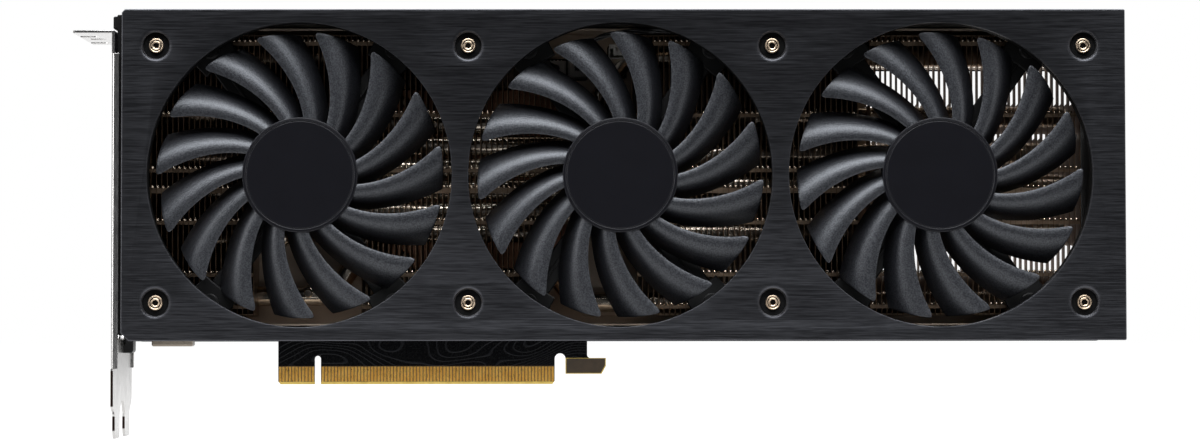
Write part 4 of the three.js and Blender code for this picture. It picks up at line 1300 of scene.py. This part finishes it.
# ---- power inlets ----
def power_inlet(number):
    """An eight-way inlet: square cells with a pin in each, a latch rib and a foot."""
    low, high = node_box(f"power_connector_{number}")
    cell, pitch = 3.3, 4.2
    floor = high.z - 6.2
    cx, cy = (low.x + high.x) / 2, (low.y + high.y) / 2
    places = [(cx + (i - 1.5) * pitch, cy + (j - 0.5) * pitch) for i in range(4) for j in range(2)]
    cells = []
    for k, (x, y) in enumerate(places):
        cut = 0.9 if k % 3 else 0.15
        h = cell / 2
        cells.append(rounded([
            (x - h, y - h, 0.1), (x + h, y - h, 0.1), (x + h, y + h, cut), (x - h, y + h, cut),
        ], 3))
    outline = rectangle(low.x, high.x, low.y, high.y, 0.5)
    body = slab("XY", outline, cells, floor - 0.4, high.z, 0.2)
    body.join(slab("XY", outline, [], low.z, floor - 0.3, 0.2))
    body.join(block(cx - 2.6, cx + 2.6, low.y - 0.9, low.y + 0.2, high.z - 4.4, high.z - 2.4, 0.3))
    piece(
        f"power_inlet_{number}", body, SOCKET_PLASTIC,
        stands_for=[f"power_connector_{number}"]
    )
    pins = Shape()
    for x, y in places:
        outline = rectangle(x - 0.5, x + 0.5, y - 0.5, y + 0.5, 0.15)
        pins.join(slab("XY", outline, [], floor - 0.5, high.z - 1.4, 0.2))
    piece(f"power_pins_{number}", pins, STEEL)


# ---- display sockets ----
PORT_Y = -4.2


def display_socket(node, name, half_height, notched):
    """A metal shell with rolled lips, a tongue with contacts and a shielded rear case."""
    low, high = node_box(node)
    mouth, rear = low.x, high.x
    case_x = -79.8
    y = PORT_Y
    z = (low.z + high.z) / 2
    half_t = 2.5
    wall = 0.45
    cut = 2.0 if notched else 0.8

    def section(grow):
        t, h = half_t + max(grow, -0.9), half_height + grow
        top_cut = 0.5 if notched else cut
        return rounded([
            (y - t, z - h, 0.5), (y + t, z - h, cut), (y + t, z + h, top_cut), (y - t, z + h, 0.5),
        ])

    neck = -1.3
    shell = slab("YZ", section(0.0), [section(-wall)], mouth, mouth + 2.0, 0.12)
    shell.join(slab("YZ", section(neck), [section(neck - wall)], mouth + 1.8, case_x + 0.4, 0.12))
    shell.join(slab("YZ", section(-wall / 2), [section(neck - wall)], mouth + 1.7, mouth + 2.1))
    shell.join(slab("YZ", section(neck - wall / 2), [], case_x, case_x + 0.6))
    case = slab("YZ", rectangle(low.y, high.y, low.z, high.z, 0.6), [], case_x, rear, 0.35)
    for dz in (-5.2, 5.2):
        spring = rectangle(case_x + 2.0, rear - 3.0, z + dz - 1.2, z + dz + 1.2, 0.4)
        case.join(slab("XZ", spring, [], low.y - 0.12, low.y + 0.1, 0.1))
    piece(name, merged([shell, case]), SHELL_STEEL, stands_for=[node])
    outline = rectangle(y - 0.55, y + 0.55, z - half_height + 2.4, z + half_height - 2.4, 0.2)
    tongue = slab("YZ", outline, [], mouth + 1.4, case_x + 0.3, 0.15)
    piece(name + "_tongue", tongue, SOCKET_PLASTIC)
    contacts = Shape()
    count = 10
    for k in range(count):
        at = z + (k - (count - 1) / 2) * 1.15
        for side in (-1, 1):
            level = y + side * 0.57
            contacts.join(block(mouth + 1.9, case_x, level - 0.05, level + 0.05, at - 0.25, at + 0.25, 0.0))
    piece(name + "_contacts", contacts, GOLD)


# ======================================================================
# bracket, backplate and fixings
# ======================================================================
PORT_Z = [20.3, 42.9, 65.5, 88.1]


def bracket():
    """Bent sheet: a face with socket and vent holes, two flanges, two prongs and a screw tab."""
    x0, t = BRACKET_LOW.x + 11.5, 0.8
    y0, y1 = BRACKET_LOW.y, BRACKET_HIGH.y
    top, bottom = BRACKET_HIGH.z, BRACKET_LOW.z
    shoulder, throat, tip, taper = -4.6, -8.2, bottom + 1.8, 1.2
    near_prong, far_prong = (-31.5, -21.3), (-11.2, -1.0)
    bend, flange_bend = 1.0, 1.1
    flange_low, flange_high = 5.2, 98.1
    face = rounded([
        (y0, top - bend, 0.0), (y0, flange_high, 0.0), (y0 + flange_bend, flange_high, 0.3),
        (y0 + flange_bend, flange_low, 0.3), (y0, flange_low, 0.0), (y0, shoulder - 1.8, 0.8),
        (near_prong[0], throat, 0.6), (near_prong[0], tip, 0.5),
        (near_prong[0] + taper, bottom, 0.5), (near_prong[1] - taper, bottom, 0.5), (near_prong[1], tip, 0.5),
        (near_prong[1], throat, 0.8), (-18.5, shoulder, 1.2), (-14.0, shoulder, 1.2),
        (far_prong[0], throat, 0.8),
        (far_prong[0], tip, 0.5), (far_prong[0] + taper, bottom, 0.5), (far_prong[1] - taper, bottom, 0.5),
        (far_prong[1], tip, 0.5), (far_prong[1], throat, 0.6), (y1, shoulder, 0.8), (y1, top - bend, 0.0),
    ])
    holes = []
    for i, z in enumerate(PORT_Z):
        half = 7.9 if i == len(PORT_Z) - 1 else 8.6
        holes.append(rectangle(PORT_Y - 2.8, PORT_Y + 2.8, z - half, z + half, 0.8))
    for row in range(10):
        z = 16 + row * 8.4
        for y in (-27.0, -16.6):
            holes.append(rectangle(y - 4.2, y + 4.2, z - 2.2, z + 2.2, 2.1))
    sheet = slab("YZ", face, holes, x0, x0 + t, 0.12)
    bend_x, bend_y = x0 + flange_bend, y0 + flange_bend
    near_end, far_end, far_low = -85.9, -86.5, 5.0
    near = arc(bend_x, bend_y, flange_bend, 180, 270) + sharp_outline((near_end, y0), (near_end, y0 + t))
    near += arc(bend_x, bend_y, flange_bend - t, 270, 180)
    sheet.join(slab("XY", near, [], flange_low, flange_high, 0.1))
    far = rounded([
        (x0 + 0.3, far_low, 0.0), (far_end, far_low, 0.4),
        (far_end, flange_high, 0.4), (x0 + 0.3, flange_high, 0.0),
    ])
    sheet.join(slab("XZ", far, [], y1 - t, y1, 0.12))
    end = BRACKET_LOW.x
    screw_x, notch_r = -95.8, 2.2
    tab = sharp_outline((x0 + 0.1, y0), (x0 + 0.1, y1), (end + 0.8, y1), (end, y1 - 0.8))
    for y in (-2.9, -23.2):
        notch = arc(screw_x, y, notch_r, 90, -90, 14)
        tab += sharp_outline((end, y + notch_r), *notch, (end, y - notch_r))
    tab += sharp_outline((end, y0 + 0.8), (end + 0.8, y0))
    slot = rectangle(-97.4, -92.6, -17.6, -13.8, 1.8)
    sheet.join(slab("XY", tab, [slot], top - t, top, 0.12))
    corner = sharp_outline(
        (x0, top - bend - 0.1), (x0 + t, top - bend - 0.1), (x0 + t, top - t), (x0 + t - 0.2, top),
        (x0 + 0.05, top), (x0, top - 0.05),
    )
    sheet.join(slab("XZ", corner, [], y0, y1, 0.05))
    piece("slot_bracket", sheet, BRACKET_STEEL, stands_for=["io_bracket"])
    # Painted shade: dark strips along the cut edges of the face and the prongs.
    edges = Shape()
    inner = 0.03
    painted_edge_shades = [
        (y0, shoulder - 1.2, flange_low - 0.6),
        (near_prong[0], tip + 0.6, throat - 0.6),
        (far_prong[0], tip + 0.6, throat - 1.2),
    ]
    for y, low, high in painted_edge_shades:
        edges.join(block(x0 + inner, x0 + t - inner, y - 0.03, y + 0.3, low, high, 0.0))
    piece("bracket_painted_edge_shades", edges, EDGE_SHADE_PAINT)


def countersunk_screw(x, z, back):
    """A flat screw head, sunk level with the plate."""
    r = 2.2
    return turned([
        (0.0, back + 0.02), (0.5, back + 0.02), (r - 0.15, back + 0.02), (r, back - 0.1),
        (r * 0.55, back - 1.0), (0.0, back - 1.0),
    ], 28, x, z)


def backplate():
    """Flat back cover with long ribs, slanted ones, a framed air window and spring-screw holes."""
    low, high = node_box("backplate")
    near, far = high.y, low.y
    w = WINDOW
    holes = [rectangle(w["x0"], w["x1"], w["z0"], w["z1"], 2.5)]
    holes += [circle(x, z, 4.2, 40) for x, z in spring_places()]
    screw_places = [(x, z) for x in (-78, -12, 56, 124, 204.5) for z in (18.5, 105)]
    seat = [(0.55, near), (0.05, near - 0.35), (0.0, near - 0.9), (0.0, far)]
    holes += [(circle(x, z, 2.3, 32), seat) for x, z in screw_places]
    plate = slab("XZ", front_face(low, high, 1.6), holes, near, far, 0.3)
    for z in (24.0, 26.4, 99.6, 97.2):
        rib = rectangle(-60, 118, z - 0.5, z + 0.5, 0.5)
        plate.join(slab("XZ", rib, [], near + 0.22, near - 0.2, 0.15))
    frame_outer = rectangle(w["x0"] - 2.6, w["x1"] + 2.6, w["z0"] - 2.6, w["z1"] + 2.6, 4.0)
    frame_inner = rectangle(w["x0"] - 0.8, w["x1"] + 0.8, w["z0"] - 0.8, w["z1"] + 0.8, 3.0)
    plate.join(slab("XZ", frame_outer, [frame_inner], near + 0.3, near - 0.2, 0.2))
    for k in range(9):
        x = -52 + k * 6.0
        slash = sharp_outline((x, 44), (x + 1.0, 44), (x + 9.0, 80), (x + 8.0, 80))
        plate.join(slab("XZ", slash, [], near + 0.2, near - 0.2, 0.12))
    piece("back_cover", plate, BACK_ALUMINIUM, stands_for=["backplate"])
    heads = merged([countersunk_screw(x, z, near) for x, z in screw_places])
    piece("back_cover_screws", heads, DARK_SCREW)


def spring_and_screws():
    low, high = node_box("retention_spring")
    reach = math.sqrt(2) * SPRING_OFF + 4
    half = 4.5
    arms = Shape()
    for sign in (1, -1):
        turn = Matrix.Rotation(sign * math.pi / 4, 2)
        outline = [turn @ p + Vector((CHIP_X, CHIP_Z)) for p in rectangle(-reach, reach, -half, half, 4.0)]
        hole = [turn @ p + Vector((CHIP_X, CHIP_Z)) for p in rectangle(-8, 8, -1.5, 1.5, 1.4)]
        screws = [circle(x, z, 1.7, 24) for x, z in spring_places() if (x - CHIP_X) * (z - CHIP_Z) * sign < 0]
        arms.join(slab("XZ", outline, [hole, *screws], low.y, high.y, 0.15))
    piece("cross_spring", arms, STEEL, stands_for=["retention_spring"])
    for number in range(1, 5):
        low, high = node_box(f"spring_screw_{number}")
        x, z = middle(low, high)
        head = turned([
            (0.0, high.y - 0.9), (0.55, high.y - 0.75), (0.75, high.y), (2.6, high.y), (3.0, high.y - 0.35),
            (3.0, high.y - 1.5), (1.2, high.y - 1.6), (1.2, low.y + 0.3), (0.9, low.y), (0.0, low.y),
        ], 40, x, z)
        piece(
            f"clamp_screw_{number}", head, SCREW_STEEL,
            stands_for=[f"spring_screw_{number}"]
        )


# ======================================================================
# studio
# ======================================================================
# place, lens and sensor in millimetres, turns in degrees
CAMERA = {
    "at": (46.7, -937.1, 18.6), "pitch": 1.884, "yaw": -0.567, "roll": -0.055, "lens": 92.03, "sensor": 36.0,
}


def camera():
    pitch, yaw, roll = (math.radians(CAMERA[k]) for k in ("pitch", "yaw", "roll"))
    forward = Vector((-math.sin(yaw) * math.cos(pitch), math.cos(yaw) * math.cos(pitch), math.sin(pitch)))
    right = Vector((math.cos(yaw), math.sin(yaw), 0.0))
    up = right.cross(forward)
    right, up = right * math.cos(roll) + up * math.sin(roll), up * math.cos(roll) - right * math.sin(roll)
    data = bpy.data.cameras.new("camera")
    data.lens = CAMERA["lens"]
    data.sensor_width = CAMERA["sensor"]
    data.sensor_fit = "HORIZONTAL"
    data.clip_start, data.clip_end = 0.01, 100.0
    seen = bpy.data.objects.new("camera", data)
    turn = Matrix((right, up, -forward)).transposed().to_4x4()
    seen.matrix_world = Matrix.Translation(Vector(CAMERA["at"]) * MM) @ turn
    bpy.context.scene.collection.objects.link(seen)
    bpy.context.scene.camera = seen


def softbox(name, at, aim, size, power, tint=(1.0, 1.0, 1.0)):
    data = bpy.data.lights.new(name, "AREA")
    data.shape = "RECTANGLE"
    data.size, data.size_y = size
    data.energy = power
    data.color = tint
    lamp = bpy.data.objects.new(name, data)
    lamp.location = at
    lamp.rotation_mode = "QUATERNION"
    lamp.rotation_quaternion = (Vector(aim) - Vector(at)).to_track_quat("-Z", "Y")
    lamp.visible_camera = False
    bpy.context.scene.collection.objects.link(lamp)


def studio():
    """A white floor, a dim room round the card and soft boxes over, beside and behind it."""
    world = bpy.data.worlds.new("studio")
    world.use_nodes = True
    tree = world.node_tree
    tree.nodes.clear()
    seen = tree.nodes.new("ShaderNodeBackground")
    seen.inputs["Color"].default_value = (1.0, 1.0, 1.0, 1.0)
    lit = tree.nodes.new("ShaderNodeBackground")
    lit.inputs["Color"].default_value = (0.95, 0.97, 1.0, 1.0)
    lit.inputs["Strength"].default_value = 0.07
    path = tree.nodes.new("ShaderNodeLightPath")
    mix = tree.nodes.new("ShaderNodeMixShader")
    output = tree.nodes.new("ShaderNodeOutputWorld")
    tree.links.new(path.outputs["Is Camera Ray"], mix.inputs[0])
    tree.links.new(lit.outputs[0], mix.inputs[1])
    tree.links.new(seen.outputs[0], mix.inputs[2])
    tree.links.new(mix.outputs[0], output.inputs["Surface"])
    bpy.context.scene.world = world
    scene = bpy.context.scene
    scene.view_settings.view_transform = "Standard"
    scene.view_settings.look = "None"

    floor_z = cad_low.z - 0.0003
    mesh = bpy.data.meshes.new("floor")
    x0, x1, y0, y1 = -1.6, 1.7, -0.16, 4.0
    corners = [(x0, y0, floor_z), (x1, y0, floor_z), (x1, y1, floor_z), (x0, y1, floor_z)]
    mesh.from_pydata(corners, [], [(0, 1, 2, 3)])
    floor = bpy.data.objects.new("floor", mesh)
    bpy.context.scene.collection.objects.link(floor)
    paper = Finish("paper", Roughness=0.9, Emission_Color=(1.0, 1.0, 1.0, 1.0), Emission_Strength=1.0)
    paper.use("Base Color", paper.ramp(paper.noise(60.0), (0.13, 0.13, 0.13), (0.15, 0.15, 0.15)))
    mesh.materials.append(paper.material)

    centre = (0.06, -0.03, 0.06)
    softbox("key", (0.02, -0.40, 0.95), centre, (1.3, 0.95), 38.0, (0.96, 0.98, 1.0))
    softbox("left", (-1.05, -0.30, 0.35), centre, (0.5, 0.7), 5.0)
    softbox("right", (1.20, -0.35, 0.25), centre, (0.5, 0.7), 2.5)
    softbox("back", (0.25, 1.0, 0.70), centre, (1.0, 0.6), 6.0)


# ======================================================================
# build
# ======================================================================
camera()
studio()
cover()
for screw_number, (screw_low, screw_high) in enumerate(SCREW_BOXES, 1):
    cover_screw(screw_number, screw_low, screw_high)
for fan_index in range(3):
    fan(fan_index)
    fan_carrier(fan_index)
    motor_coils(fan_index)
    fan_lead(fan_index)
shroud()
fin_stack("fins_main", "fin_stack_main", *FIN_MAIN_X, False)
fin_stack("fins_tail", "fin_stack_tail", *FIN_TAIL_X, True)
for pipe_number, pipe_plan in enumerate(PIPES, 1):
    heat_pipe(pipe_number, pipe_plan)
base_plates()
circuit_board()
for inlet_number in (1, 2):
    power_inlet(inlet_number)
for socket_number in (1, 2, 3):
    display_socket(f"display_port_{socket_number}", f"display_socket_{socket_number}", 8.3, True)
display_socket("hdmi_port", "hdmi_socket", 7.6, False)
bracket()
backplate()
spring_and_screws()
